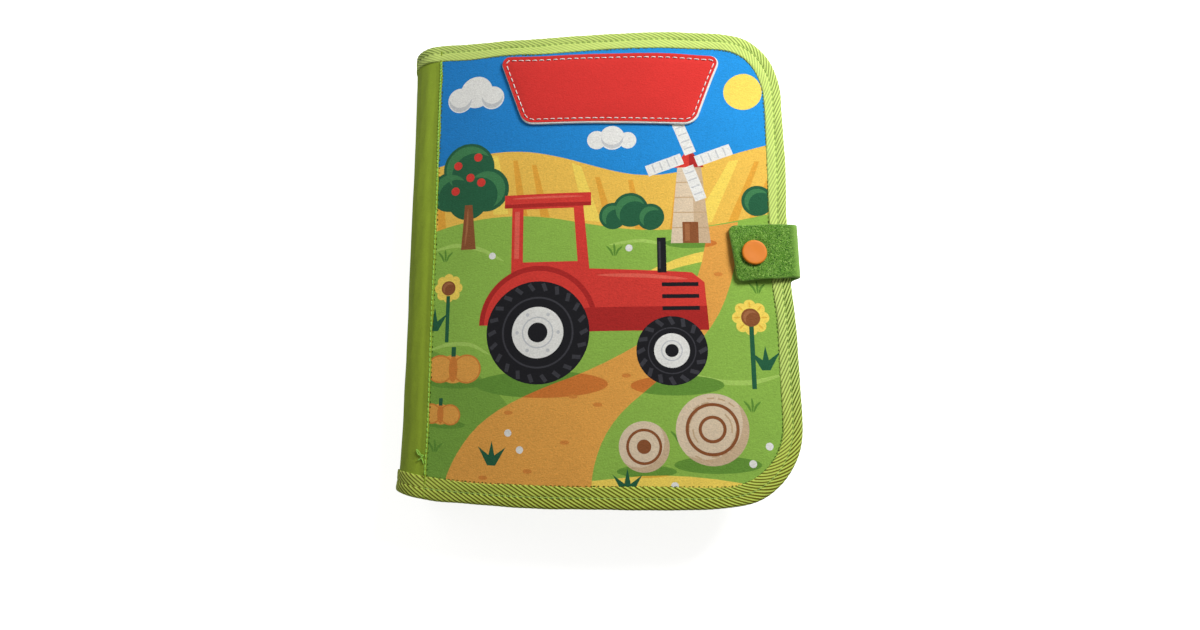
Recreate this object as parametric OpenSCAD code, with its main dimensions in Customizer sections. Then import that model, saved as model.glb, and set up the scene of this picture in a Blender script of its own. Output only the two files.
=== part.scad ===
// Soft cloth activity book, closed and lying on its back cover.
// Lengths are in millimetres.
// X runs from the spine to the fore-edge, Y to the head of the book and Z up.
// The origin is in the middle of the underside.

/* [Book] */
// Width of a cover, from the outside of the spine to the fore-edge
cover_width = 200; // [180:1:230]
// Height of the book, from tail to head
book_height = 244; // [220:1:280]
// Thickness of the closed book at the spine
spine_height = 34; // [30:0.5:40]
// Radius of the round corners at the fore-edge
corner_radius = 38; // [20:1:45]
// Rise of the front cover over a straight line from seam to fore-edge
arch_rise = 4.7; // [2:0.1:7]
// Drop of the front cover from the seam to the fore-edge
fore_edge_drop = 2.4; // [0:0.1:4]

/* [Covers] */
// Thickness of the printed felt panel
panel_thick = 1.6; // [1:0.1:2.5]
// Thickness of the inner felt lining
lining_thick = 1.2; // [0.8:0.1:2]

/* [Binding tape] */
// Thickness of the folded tape
tape_thick = 0.6; // [0.4:0.1:0.9]
// Width of tape seen on each face of a cover
tape_face = 9.5; // [7:0.5:12]

/* [Spine] */
// Distance of both seams from the outside of the spine
seam_inset = 17.5; // [16:0.5:22]
// Radius of the rolled edges of the spine
spine_roll = 15; // [9:0.5:15]
// Thickness of the fabric strip round the spine
strip_thick = 1.6; // [1:0.1:2.2]

/* [Leaves] */
// Number of felt leaves
leaf_count = 6; // [4:1:8]
// Gap between leaves
leaf_gap = 0.5; // [0.4:0.1:0.8]
// Distance of the leaves from the head and tail of the covers
leaf_margin = 7; // [4:0.5:12]
// Thickness of the felt shapes on the first leaf
applique_thick = 1.1; // [0.6:0.1:1.4]

/* [Closure strap] */
// Width of the strap along the fore-edge
strap_width = 28.5; // [20:0.5:35]
// Thickness of the strap
strap_thick = 1.8; // [1.2:0.1:2.4]
// Length of strap lying over the front cover
strap_reach = 28.5; // [26:0.5:36]
// Distance of the strap's outer face from the fore-edge
strap_bulge = 4.3; // [3.4:0.1:6]
// Radius of the round corners of the strap
strap_corner = 3.5; // [1:0.5:6]

/* [Snap] */
// Diameter of the snap's cap
cap_diameter = 12.4; // [10:0.1:14]
// Height of the snap's cap
cap_height = 1.3; // [1:0.1:1.8]
// Distance of the snap from the fore-edge
snap_inset = 18.6; // [15:0.1:20]

/* [Title patch] */
// Thickness of the raised title patch
patch_thick = 1.5; // [0.8:0.1:2]
// Radius of the title patch's corners
patch_corner = 4; // [2:0.5:7]

/* [Hidden] */

// fit clearance between pieces on different bodies
fit = 0.3;
// thickness of a printed field of colour
ink = 0.2;
// scale of the print in each direction
kx = cover_width / 200;
ky = book_height / 244;
k = min(kx, ky);
// first X of the covers, just clear of the spine strip
cover_start = seam_inset + fit / 2;
total_x = cover_width + strap_bulge;
cover_thick = 2 * tape_thick + panel_thick + lining_thick;

// the arch: a circle through the seam and the fore-edge on the tape's outer face
chord = sqrt(pow(cover_width - seam_inset, 2) + pow(fore_edge_drop, 2));
arch_r = chord * chord / (8 * arch_rise) + arch_rise / 2;
arch_x = (cover_width + seam_inset) / 2 + fore_edge_drop / chord * (arch_rise - arch_r);
arch_z = spine_height - fore_edge_drop / 2
  + (cover_width - seam_inset) / chord * (arch_rise - arch_r);
// radii of the layers of the front cover
panel_top = arch_r - tape_thick;
lining_top = panel_top - panel_thick;
lining_low = lining_top - lining_thick;
tape_low = lining_low - tape_thick;
print_top = panel_top + ink;
leaf_top = tape_low - fit - max(0, applique_thick - tape_thick);
patch_low = print_top + 0.05;

// the snap's stack, from the print up to the strap
stud_flange = 0.5;
socket_thick = 1.3;
snap_gap = 0.2;
snap_x = cover_width - snap_inset;
snap_tilt = asin((snap_x - arch_x) / print_top);
strap_low = print_top + stud_flange + snap_gap + socket_thick;
strap_high = strap_low + strap_thick;

// the strap's bends
bend_in = 1;
bend_out = bend_in + strap_thick;
bend_x = total_x - bend_out;
bend_z = arch_z + sqrt(pow(strap_high - bend_out, 2) - pow(bend_x - arch_x, 2));
bend_turn = asin((bend_x - arch_x) / (strap_high - bend_out));
strap_start = cover_width - strap_reach;
strap_turn = asin((strap_start - arch_x) / strap_high);
leg_low = cover_thick;
leg_start = cover_width - tape_face;

// corners of the title patch
patch_points = P([[51.4, 233.2], [65.4, 194.3], [154.8, 191.2], [169.4, 229.8]]);

// turns a list of print points into cover points
function P(list) = [for (q = list) [q[0] * kx, (q[1] - 122) * ky]];

// moves a small shape to its place in the print
module at(x, y) {
  translate([x * kx, (y - 122) * ky, 0]) children();
}

// moves everything to the shared frame
module placed() {
  translate([-total_x / 2, 0, 0]) children();
}

// a disc in the print
module dot(x, y, r) {
  at(x, y) circle(r = r * k, $fn = 40);
}

// a ring in the print
module ring(x, y, r, hole) {
  difference() {
    dot(x, y, r);
    dot(x, y, hole);
  }
}

// a cover's outline, set in from its three free edges
module cover_outline(inset, start = cover_start) {
  r = max(corner_radius - inset, 1);
  x1 = cover_width - inset;
  y1 = book_height / 2 - inset;
  translate([start, -y1]) square([x1 - r - start, 2 * y1]);
  translate([start, -y1 + r]) square([x1 - start, 2 * (y1 - r)]);
  for (s = [-1, 1])
    translate([x1 - r, s * (y1 - r)]) circle(r = r, $fn = 96);
}

// the tape's face on a cover
module tape_outline() {
  difference() {
    cover_outline(0);
    cover_outline(tape_face, cover_start - tape_face);
  }
}

// a cylinder of the arch's curvature
module arch_solid(r) {
  translate([arch_x, 0, arch_z]) rotate([90, 0, 0])
    cylinder(r = r, h = book_height + 40, center = true, $fn = 720);
}

// a curved layer of the front cover between two radii
module arched(low, high) {
  intersection() {
    linear_extrude(height = spine_height + 30) children();
    difference() {
      arch_solid(high);
      arch_solid(low);
    }
  }
}

// places a piece of the snap normal to the arch
module on_arch(r) {
  translate([arch_x, 0, arch_z]) rotate([0, snap_tilt, 0]) translate([0, 0, r]) children();
}

// a spine profile: a rounded band round the spine, set in from its outside
module spine_profile(inset) {
  r = spine_roll - inset;
  h = spine_height - 2 * inset;
  translate([inset + r, inset]) square([seam_inset - fit / 2 - inset - r, h]);
  translate([inset, inset + r]) square([r + 0.01, h - 2 * r]);
  for (z = [inset + r, spine_height - inset - r])
    translate([inset + r, z]) circle(r = r, $fn = 72);
}

// a length of the spine's wall between two insets
module spine_wall(outer, inner, y0, y1) {
  translate([0, y1, 0]) rotate([90, 0, 0]) linear_extrude(height = y1 - y0)
    intersection() {
      difference() {
        spine_profile(outer);
        union() {
          spine_profile(inner);
          translate([spine_roll, inner]) square([seam_inset, spine_height - 2 * inner]);
        }
      }
      square([seam_inset - fit / 2, spine_height]);
    }
}

// tape folded over one end of the spine strip
module spine_tape(y0, y1) {
  difference() {
    spine_wall(0, 2 * tape_thick + strip_thick, y0, y1);
    spine_wall(tape_thick, tape_thick + strip_thick,
      -book_height / 2 + tape_thick, book_height / 2 - tape_thick);
  }
}

// plan outline of the leaves
module leaf_outline() {
  x1 = cover_width - tape_face - 0.8;
  y1 = book_height / 2 - leaf_margin;
  r = corner_radius - leaf_margin;
  translate([0, -y1]) square([x1 - r, 2 * y1]);
  translate([0, -y1 + r]) square([x1, 2 * (y1 - r)]);
  for (s = [-1, 1])
    translate([x1 - r, s * (y1 - r)]) circle(r = r, $fn = 72);
}

// the gap between two leaves, as part of a rising row of arches
module leaf_slot(f) {
  z0 = cover_thick + fit;
  seam_z = spine_height - cover_thick - 0.8;
  h0 = z0 + f * (seam_z - z0);
  h1 = z0 + f * (seam_z - fore_edge_drop - z0);
  s = max(arch_rise * f, 0.1);
  c = sqrt(pow(cover_width - seam_inset, 2) + pow(h0 - h1, 2));
  r = c * c / (8 * s) + s / 2;
  x = (cover_width + seam_inset) / 2 + (h0 - h1) / c * (s - r);
  z = (h0 + h1) / 2 + (cover_width - seam_inset) / c * (s - r);
  intersection() {
    translate([seam_inset, -book_height, -10]) cube([cover_width, 2 * book_height, 80]);
    translate([x, 0, z]) rotate([90, 0, 0]) difference() {
      cylinder(r = r + leaf_gap / 2, h = 2 * book_height, center = true, $fn = 720);
      cylinder(r = r - leaf_gap / 2, h = 3 * book_height, center = true, $fn = 720);
    }
  }
}

// the leaves
module page_block() color([0.95, 0.94, 0.9]) placed() {
  inset = 2 * tape_thick + strip_thick + 0.2;
  r = spine_roll - inset;
  z0 = cover_thick + fit;
  z1 = spine_height - cover_thick - fit;
  difference() {
    intersection() {
      linear_extrude(height = 60) leaf_outline();
      arch_solid(leaf_top);
      translate([0, book_height, 0]) rotate([90, 0, 0])
        linear_extrude(height = 2 * book_height) {
          translate([inset + r, z0]) square([cover_width, z1 - z0 + 20]);
          intersection() {
            union() {
              translate([inset, inset + r]) square([r + 1, spine_height - 2 * inset - 2 * r]);
              for (z = [inset + r, spine_height - inset - r])
                translate([inset + r, z]) circle(r = r, $fn = 72);
            }
            translate([0, z0]) square([inset + r + 0.1, z1 - z0]);
          }
        }
    }
    for (i = [1:leaf_count - 1])
      leaf_slot(i / leaf_count);
  }
}

// a felt shape on the first leaf
module applique() {
  placed() arched(leaf_top, leaf_top + applique_thick) children();
}

module page_hill() color([0.35, 0.66, 0.25]) applique()
  intersection() {
    at(100, 38) square([130 * kx, 50 * ky], center = true);
    union() {
      dot(75, -2, 60);
      dot(125, -12, 60);
    }
  }

module page_sun() color([0.98, 0.78, 0.15]) applique() {
  dot(140, 180, 20);
}

module page_flower() color([0.9, 0.3, 0.25]) applique()
  for (a = [0:72:359])
    at(75, 135) rotate(a) translate([0, 15 * k]) circle(r = 11 * k, $fn = 40);

module page_leaf() color([0.3, 0.6, 0.2]) applique()
  at(75, 88) {
    square([5 * k, 50 * ky], center = true);
    translate([12 * k, -4 * k]) rotate(35) intersection() {
      translate([0, 9 * k]) circle(r = 15 * k, $fn = 40);
      translate([0, -9 * k]) circle(r = 15 * k, $fn = 40);
    }
  }

// green fabric strip round the spine
module spine_strip() color([0.5, 0.68, 0.16]) placed()
  spine_wall(tape_thick, tape_thick + strip_thick,
    -book_height / 2 + tape_thick, book_height / 2 - tape_thick);

module spine_tape_top() color([0.62, 0.8, 0.22]) placed()
  spine_tape(book_height / 2 - tape_face, book_height / 2);

module spine_tape_bottom() color([0.62, 0.8, 0.22]) placed()
  spine_tape(-book_height / 2, -book_height / 2 + tape_face);

// hole for the snap's rivet through the front cover
module rivet_hole() {
  on_arch(panel_top - 8) cylinder(r = 1.6, h = 16, $fn = 32);
}

module front_panel() color([0.93, 0.92, 0.88]) placed()
  difference() {
    arched(lining_top, panel_top) cover_outline(tape_thick);
    rivet_hole();
  }

module front_lining() color([0.55, 0.72, 0.25]) placed()
  difference() {
    arched(lining_low, lining_top) cover_outline(tape_thick);
    rivet_hole();
    on_arch(lining_low - 1) cylinder(r = cap_diameter / 2 + 0.1, h = 1.4, $fn = 64);
  }

module front_tape() color([0.62, 0.8, 0.22]) placed()
  difference() {
    arched(tape_low, arch_r) tape_outline();
    arched(lining_low, panel_top) cover_outline(tape_thick);
  }

// the printed area
module print_area() {
  difference() {
    cover_outline(tape_face + 0.2);
    translate([snap_x, 0]) circle(r = 1.9, $fn = 32);
  }
}

// shapes of the print, from the lowest to the highest
module gold_shapes() {
  polygon(P([[10, 172], [30, 177], [48, 180], [66, 180], [84, 176], [102, 170],
    [120, 165], [136, 164], [152, 167], [170, 174], [195, 181], [195, 100], [10, 100]]));
}

module meadow_shapes() {
  polygon(P([[10, 136], [30, 142], [52, 145], [76, 144], [100, 139], [124, 135],
    [148, 135], [172, 139], [195, 144], [195, 0], [10, 0]]));
}

module yellow_shapes() {
  dot(180, 209, 10);
  polygon(P([[50, 146], [58, 146], [52, 178], [47, 178]]));
  polygon(P([[98, 141], [106, 140], [96, 170], [91, 172]]));
  polygon(P([[152, 137], [162, 139], [176, 172], [171, 171]]));
  polygon(P([[110, 104], [150, 118], [185, 122], [195, 121], [195, 126], [184, 127], [148, 123]]));
  polygon(P([[100, 12], [140, 16], [192, 8], [192, 2], [100, 2]]));
  for (a = [0:45:359])
    at(178, 90) rotate(a) translate([0, 6 * k]) circle(r = 3 * k, $fn = 24);
  for (a = [0:45:359])
    at(27, 108) rotate(a) translate([0, 5 * k]) circle(r = 2.6 * k, $fn = 24);
}

module orange_shapes() {
  polygon(P([[26, 0], [32, 20], [46, 40], [70, 54], [104, 66], [136, 84], [154, 108],
    [160, 136.5], [175, 139], [172, 110], [158, 82], [134, 60], [112, 42], [102, 22], [100, 0]]));
  for (x = [24, 31, 38])
    dot(x, 66, 7.5);
  for (x = [20, 25, 30])
    dot(x, 42, 5.5);
}

module green_shapes() {
  dot(36, 172, 14);
  dot(26, 160, 11);
  dot(46, 160, 12);
  dot(36, 155, 11);
  for (c = [[112, 143, 7], [121, 146, 9], [131, 142, 7], [185, 150, 8]])
    dot(c[0], c[1], c[2]);
  at(31, 75) square([2.4 * k, 5 * k], center = true);
  at(25, 48.5) square([2 * k, 4 * k], center = true);
  at(178, 71) square([2.2 * k, 32 * k], center = true);
  at(27, 92) square([2 * k, 24 * k], center = true);
  for (c = [[184, 66], [52, 20], [20, 88], [118, 8]])
    at(c[0], c[1]) polygon([[-7 * k, 7 * k], [-2 * k, -2 * k], [2 * k, -2 * k],
      [7 * k, 7 * k], [1.5 * k, 3 * k], [0, 10 * k], [-1.5 * k, 3 * k]]);
}

module cream_shapes() {
  polygon(P([[141, 128], [145, 168], [157, 168], [161, 128]]));
  dot(158, 36, 17);
  dot(126, 28, 12);
}

module brown_shapes() {
  polygon(P([[33, 128], [34.5, 152], [38.5, 152], [41, 128]]));
  dot(178, 90, 4.6);
  dot(27, 108, 3.8);
  ring(158, 36, 12.5, 11);
  ring(158, 36, 6.5, 5);
  ring(126, 28, 8.5, 7.2);
  dot(126, 28, 3.4);
  polygon(P([[147, 128], [147, 139], [155, 139], [155, 128]]));
}

module red_shapes() {
  polygon(P([[143.5, 168], [151, 179], [158.5, 168]]));
  for (c = [[30, 174], [41, 178], [43, 164], [29, 160], [37, 167]])
    dot(c[0], c[1], 2.3);
  difference() {
    polygon(P([[56, 149], [56, 156], [101, 156], [101, 149], [97, 149], [100, 116],
      [151, 113], [157, 108], [158, 84], [60, 84], [60, 149]]));
    polygon(P([[66, 148], [92, 148], [94, 120], [66, 120]]));
  }
  intersection() {
    dot(74, 88, 30);
    polygon(P([[40, 88], [110, 88], [110, 120], [40, 120]]));
  }
}

module black_shapes() {
  dot(74, 84, 26);
  dot(140, 74, 17);
  polygon(P([[134, 113], [134, 131], [138.5, 131], [138.5, 113]]));
  for (y = [94, 100, 106])
    polygon(P([[136, y], [154, y], [154, y + 2], [136, y + 2]]));
}

module white_shapes() {
  for (c = [[30, 211, 7], [39, 215, 9], [48, 211, 6.5], [104, 184, 5], [112, 185, 6.5], [120, 183.5, 4.5]])
    dot(c[0], c[1], c[2]);
  ring(74, 84, 13, 5);
  ring(140, 74, 8.5, 3.2);
  at(151, 172) for (a = [20:90:359])
    rotate(a) translate([-1 * k, 3 * k]) square([6 * k, 19 * k]);
  for (c = [[60, 34], [66, 26], [176, 20], [184, 28], [140, 10], [50, 124], [120, 126]])
    dot(c[0], c[1], 1.8);
}

// one printed field: its own shapes without those above it
module field(level) {
  placed() arched(panel_top, print_top)
    difference() {
      intersection() {
        print_area();
        shapes(level);
      }
      for (i = [level + 1:1:10])
        shapes(i);
    }
}

module shapes(level) {
  if (level == 1) gold_shapes();
  if (level == 2) meadow_shapes();
  if (level == 3) yellow_shapes();
  if (level == 4) orange_shapes();
  if (level == 5) green_shapes();
  if (level == 6) cream_shapes();
  if (level == 7) brown_shapes();
  if (level == 8) red_shapes();
  if (level == 9) black_shapes();
  if (level == 10) white_shapes();
}

module print_blue() color([0.07, 0.45, 0.82]) placed() arched(panel_top, print_top)
  difference() {
    print_area();
    for (i = [1, 3, 5, 6, 8, 10])
      shapes(i);
    meadow_shapes();
  }

module print_gold() color([0.97, 0.72, 0.2]) field(1);

module print_meadow() color([0.45, 0.7, 0.25]) field(2);

module print_yellow() color([0.98, 0.85, 0.3]) field(3);

module print_orange() color([0.95, 0.62, 0.22]) field(4);

module print_green() color([0.1, 0.36, 0.22]) field(5);

module print_cream() color([0.93, 0.87, 0.74]) field(6);

module print_brown() color([0.5, 0.27, 0.13]) field(7);

module print_red() color([0.83, 0.16, 0.14]) field(8);

module print_black() color([0.08, 0.08, 0.09]) field(9);

module print_white() color([0.93, 0.93, 0.91]) field(10);

// raised title patch with a printed face, bare of text
module patch_outline(inset) {
  offset(r = patch_corner - inset, $fn = 32)
    offset(delta = -patch_corner)
      polygon(patch_points);
}

module title_patch() color([0.95, 0.94, 0.92]) placed()
  arched(patch_low, patch_low + patch_thick) patch_outline(0);

module title_patch_print() color([0.86, 0.12, 0.13]) placed()
  arched(patch_low + patch_thick, patch_low + patch_thick + ink) patch_outline(0.5);

// stitches along one side of the patch
module patch_side(a, b) {
  d = b - a;
  n = norm(d);
  u = d / n;
  free = n - 2 * patch_corner - 2;
  count = floor(free / 3.6);
  for (i = [0:count])
    translate(a + u * (patch_corner + 1 + free * i / count) + [-u[1], u[0]] * 2.6)
      rotate(atan2(u[1], u[0])) square([2.3, 0.6], center = true);
}

module title_patch_stitches() color([0.96, 0.95, 0.93]) placed()
  arched(patch_low + patch_thick + ink, patch_low + patch_thick + ink + 0.25)
    for (i = [0:3])
      patch_side(patch_points[i], patch_points[(i + 1) % 4]);

// stitches along the spine seam
module seam_stitches() color([0.25, 0.42, 0.1]) placed()
  arched(print_top + 0.02, print_top + 0.27) {
    n = floor((book_height - 2 * tape_face - 8) / 4.2);
    for (i = [0:n - 1])
      translate([cover_start + 0.4, (i - (n - 1) / 2) * 4.2 - 1.5]) square([0.5, 3]);
  }

// lower half of the snap, riveted through the front cover
module snap_stud() color([0.93, 0.5, 0.15]) placed() {
  on_arch(print_top + 0.03) cylinder(r = cap_diameter / 2 - 0.8, h = stud_flange, $fn = 64);
  on_arch(print_top) cylinder(r = 2.2, h = stud_flange + snap_gap + 0.8, $fn = 40);
  on_arch(lining_low + 0.35) cylinder(r = 1.4, h = print_top - lining_low, $fn = 32);
}

module snap_stud_cap() color([0.93, 0.5, 0.15]) placed()
  on_arch(lining_low - tape_thick + 0.1) cylinder(r = cap_diameter / 2, h = tape_thick + 0.2, $fn = 64);

// flat back cover
module back_panel() color([0.5, 0.68, 0.16]) placed()
  translate([0, 0, tape_thick]) linear_extrude(height = panel_thick) cover_outline(tape_thick);

module back_lining() color([0.55, 0.72, 0.25]) placed()
  translate([0, 0, tape_thick + panel_thick]) linear_extrude(height = lining_thick)
    cover_outline(tape_thick);

module back_tape() color([0.62, 0.8, 0.22]) placed()
  difference() {
    linear_extrude(height = cover_thick) tape_outline();
    translate([0, 0, tape_thick]) linear_extrude(height = panel_thick + lining_thick)
      cover_outline(tape_thick);
  }

// a wedge seen from the side, between two directions measured from up to the fore-edge
module wedge(x, z, a, b, r) {
  translate([x, z]) polygon([[0, 0], [r * sin(a), r * cos(a)],
    [r * sin((a + b) / 2) * 1.2, r * cos((a + b) / 2) * 1.2], [r * sin(b), r * cos(b)]]);
}

// a bent piece of strap seen from the side
module bent(x, z, low, high, a, b) {
  intersection() {
    translate([x, z]) difference() {
      circle(r = high, $fn = high > 100 ? 720 : 48);
      circle(r = low, $fn = high > 100 ? 720 : 48);
    }
    wedge(x, z, a, b, high * 1.5);
  }
}

// the strap seen from the side
module strap_profile() {
  bent(arch_x, arch_z, strap_low, strap_high, strap_turn, bend_turn);
  bent(bend_x, bend_z, bend_in, bend_out, bend_turn, 90);
  translate([total_x - strap_thick, leg_low + bend_out])
    square([strap_thick, bend_z - leg_low - bend_out]);
  bent(bend_x, leg_low + bend_out, bend_in, bend_out, 90, 180);
  translate([leg_start, leg_low]) square([bend_x - leg_start, strap_thick]);
}

module closure_strap() color([0.27, 0.55, 0.16]) placed()
  difference() {
    translate([0, strap_width / 2, 0]) rotate([90, 0, 0])
      linear_extrude(height = strap_width) strap_profile();
    for (s = [-1, 1])
      translate([0, 0, spine_height / 2]) linear_extrude(height = spine_height)
        difference() {
          translate([strap_start - strap_corner,
            s > 0 ? strap_width / 2 - strap_corner : -strap_width / 2 - strap_corner])
            square(2 * strap_corner);
          translate([strap_start + strap_corner, s * (strap_width / 2 - strap_corner)])
            circle(r = strap_corner, $fn = 40);
        }
    on_arch(strap_low - 2) cylinder(r = 1.6, h = strap_thick + 4, $fn = 32);
  }

module strap_stitches() color([0.18, 0.4, 0.1]) placed()
  for (x = [leg_start + 2, leg_start + 7])
    for (i = [-3:3])
      translate([x - 0.3, i * strap_width / 8 - 1.2, leg_low + strap_thick]) cube([0.6, 2.4, 0.25]);

// upper half of the snap, riveted through the strap
module snap_cap() color([0.93, 0.5, 0.15]) placed() {
  on_arch(strap_high + 0.03) rotate_extrude($fn = 72) {
    square([cap_diameter / 2 - 0.6, cap_height]);
    square([cap_diameter / 2, cap_height - 0.6]);
    translate([cap_diameter / 2 - 0.6, cap_height - 0.6]) circle(r = 0.6, $fn = 32);
  }
  on_arch(strap_low + 0.03) cylinder(r = 1.4, h = strap_thick + 0.1, $fn = 32);
}

module snap_socket() color([0.93, 0.5, 0.15]) placed()
  on_arch(strap_low - socket_thick) difference() {
    cylinder(r = cap_diameter / 2 - 0.8, h = socket_thick - 0.02, $fn = 64);
    translate([0, 0, -1]) cylinder(r = 2.4, h = 1.9, $fn = 40);
  }

page_block();
page_hill();
page_sun();
page_flower();
page_leaf();
spine_strip();
spine_tape_top();
spine_tape_bottom();
front_panel();
front_lining();
front_tape();
print_blue();
print_gold();
print_meadow();
print_yellow();
print_orange();
print_green();
print_cream();
print_brown();
print_red();
print_black();
print_white();
title_patch();
title_patch_print();
title_patch_stitches();
seam_stitches();
snap_stud();
snap_stud_cap();
back_panel();
back_lining();
back_tape();
closure_strap();
strap_stitches();
snap_cap();
snap_socket();
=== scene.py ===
"""Soft cloth activity book: felt, cloth, tape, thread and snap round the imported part.

Lengths are in millimetres in the covers' own axes: X from the outside of the spine, Y from the
middle of the book towards its head, Z up. make() turns them into metres in the row frame.
"""

import math

import bpy
import numpy as np
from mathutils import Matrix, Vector
from mathutils.geometry import delaunay_2d_cdt


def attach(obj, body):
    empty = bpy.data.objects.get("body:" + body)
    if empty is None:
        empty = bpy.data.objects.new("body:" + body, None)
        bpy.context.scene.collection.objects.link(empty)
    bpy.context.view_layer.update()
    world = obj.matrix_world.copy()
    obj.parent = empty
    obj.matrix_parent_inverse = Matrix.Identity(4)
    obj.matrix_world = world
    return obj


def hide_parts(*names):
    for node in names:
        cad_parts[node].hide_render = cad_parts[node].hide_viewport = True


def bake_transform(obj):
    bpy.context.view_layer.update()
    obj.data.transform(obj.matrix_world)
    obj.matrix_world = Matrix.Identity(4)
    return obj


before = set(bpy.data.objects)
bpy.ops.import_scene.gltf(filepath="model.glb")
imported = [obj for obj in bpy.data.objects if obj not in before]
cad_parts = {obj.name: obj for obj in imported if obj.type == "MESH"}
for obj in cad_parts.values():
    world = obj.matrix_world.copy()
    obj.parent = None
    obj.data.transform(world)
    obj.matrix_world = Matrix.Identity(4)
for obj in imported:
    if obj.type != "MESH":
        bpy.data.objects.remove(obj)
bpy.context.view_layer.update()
rng = np.random.default_rng(11)
sin, cos, pi = np.sin, np.cos, np.pi

# the covers
WIDTH, HALF, SPINE = 200.0, 122.0, 34.0
SEAM, CORNER, MIDDLE_X = 17.65, 38.0, 102.15
COVER = 4.0
TAPE = 9.5
# the front cover's arch: a circle seen from the tail, through the tape's outer face
SPAN, DROP, RISE = 182.5, 2.4, 4.7
SPAN_MID, SPAN_Z = 108.75, 32.8
CHORD = math.hypot(SPAN, DROP)
ARCH_R = CHORD**2 / (8 * RISE) + RISE / 2
ARCH_X = SPAN_MID + DROP / CHORD * (RISE - ARCH_R)
ARCH_Z = SPAN_Z + SPAN / CHORD * (RISE - ARCH_R)
# how far the covers' sheets are cut in from the tape's edge
CUT_IN = 0.9
# levels of the layers, from the tape's outer face
PRINT, PANEL, LINING_TOP, LINING_LOW = -0.4, -0.6, -2.2, -3.4
PATCH, STRAP_LOW, STRAP_HIGH, LEAF_TOP = -0.35, 1.6, 3.4, -4.8
# the spine's roll
ROLL, STRIP = 15.0, 1.6
# the snap
SNAP_X = 181.4
SNAP_TILT = math.asin((SNAP_X - ARCH_X) / (ARCH_R + PRINT))
# faces that meet at more than this angle keep a crisp edge
SHARP = math.radians(77)
# how far the soft cover's edges and the spine's back stand off true: places, then millimetres
TAIL_OUTER = (
    (0, 12, 20, 30, 40, 60, 80, 138, 150, 163, 171, 180, 190),
    (6.6, 4.1, 2.2, 1.8, 1.3, -0.1, -0.7, -0.8, -0.8, 0.3, 1.1, -0.5, -0.9),
)
TAIL_INNER = (0, 10, 18, 34, 50, 80, 200), (8.0, 5.8, 4.4, 2.6, 1.5, 0.4, 0.2)
HEAD = (
    (0, 10, 20, 30, 45, 60, 70, 98, 120, 130, 140, 150, 160, 170, 180, 192),
    (-0.1, 0.7, 1.7, 0.5, 0.5, 0.4, -0.4, 0.6, 0.6, 0.7, 0.7, 0.1, -0.8, -0.9, 1.1, 1.1),
)
SIDE = (
    (-112, -92, -72, -45, -30, -18, 20, 45, 75, 95, 115),
    (0.9, 0.7, 1.4, 1.3, 1.2, 0.2, -0.3, 0.6, 0.2, -0.1, 1.5),
)
BACK = (-122, -113, -104, -92, -80, -40, 0, 100, 112), (-1.1, -0.4, 0.1, 0.6, 0.5, 0.5, 0.4, 0.1, -0.6)


def smooth(t):
    """Smooth step from 0 to 1."""
    t = np.clip(t, 0, 1)
    return t * t * (3 - 2 * t)


def lift(x, y):
    """How far the soft front cover stands off its plain arch."""
    t = np.clip((x - SEAM) / (WIDTH - SEAM), 0, 1)
    v = (y + HALF) / (2 * HALF)
    corner = 7 * t**2 * np.clip(1 - v / 0.5, 0, 1) ** 2
    wave = 0.55 + 0.33 * sin(x / 23 + 1.3) * cos(y / 31 + 0.4) + 0.2 * sin(x / 11 - y / 17 + 2.1)
    calm = 1 - np.exp(-(((x - 186) / 26) ** 4) - (y / 30) ** 4)
    return corner + wave * smooth((x - SEAM) / 30) * calm


def top(x, y, level):
    """Height of a layer of the front cover."""
    return ARCH_Z + np.sqrt((ARCH_R + level) ** 2 - (x - ARCH_X) ** 2) + lift(x, y)


def top_normal(x, y):
    """Upward normal of the front cover."""
    gx = (top(x + 0.2, y, 0) - top(x - 0.2, y, 0)) / 0.4
    gy = (top(x, y + 0.2, 0) - top(x, y - 0.2, 0)) / 0.4
    n = np.stack([-gx, -gy, np.ones_like(gx)], -1)
    return n / np.linalg.norm(n, axis=-1, keepdims=True)


def ease(x, places, values):
    """A line through values at places, with its corners rounded off."""
    return sum(np.interp(x + k, places, values) for k in (-6, -3, 0, 3, 6)) / 5


def warp(v):
    """The soft front cover and the spine are sewn a little out of true."""
    x, y, z = v.T
    outer, inner = ease(x, *TAIL_OUTER), ease(x, *TAIL_INNER)
    tail = (outer + (inner - outer) * np.clip((y + HALF) / TAPE, 0, 1)) * smooth(1 - (y + HALF - TAPE) / 75)
    head = ease(x, *HEAD) * smooth(1 - (HALF - y) / 70)
    side = smooth((x - 120) / 75) * ease(y, *SIDE)
    back = smooth(1 - x / 30) * ease(y, *BACK)
    high = np.clip((z - 8) / 18, 0, 1)
    # round the spine the pull at the tail reaches down to the back cover
    deep = high + (np.clip((z + 6) / 30, 0, 1) - high) * smooth((38 - x) / 24)
    return v + np.stack([(side + back) * high, tail * deep + head * high, 0 * high], 1)


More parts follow.
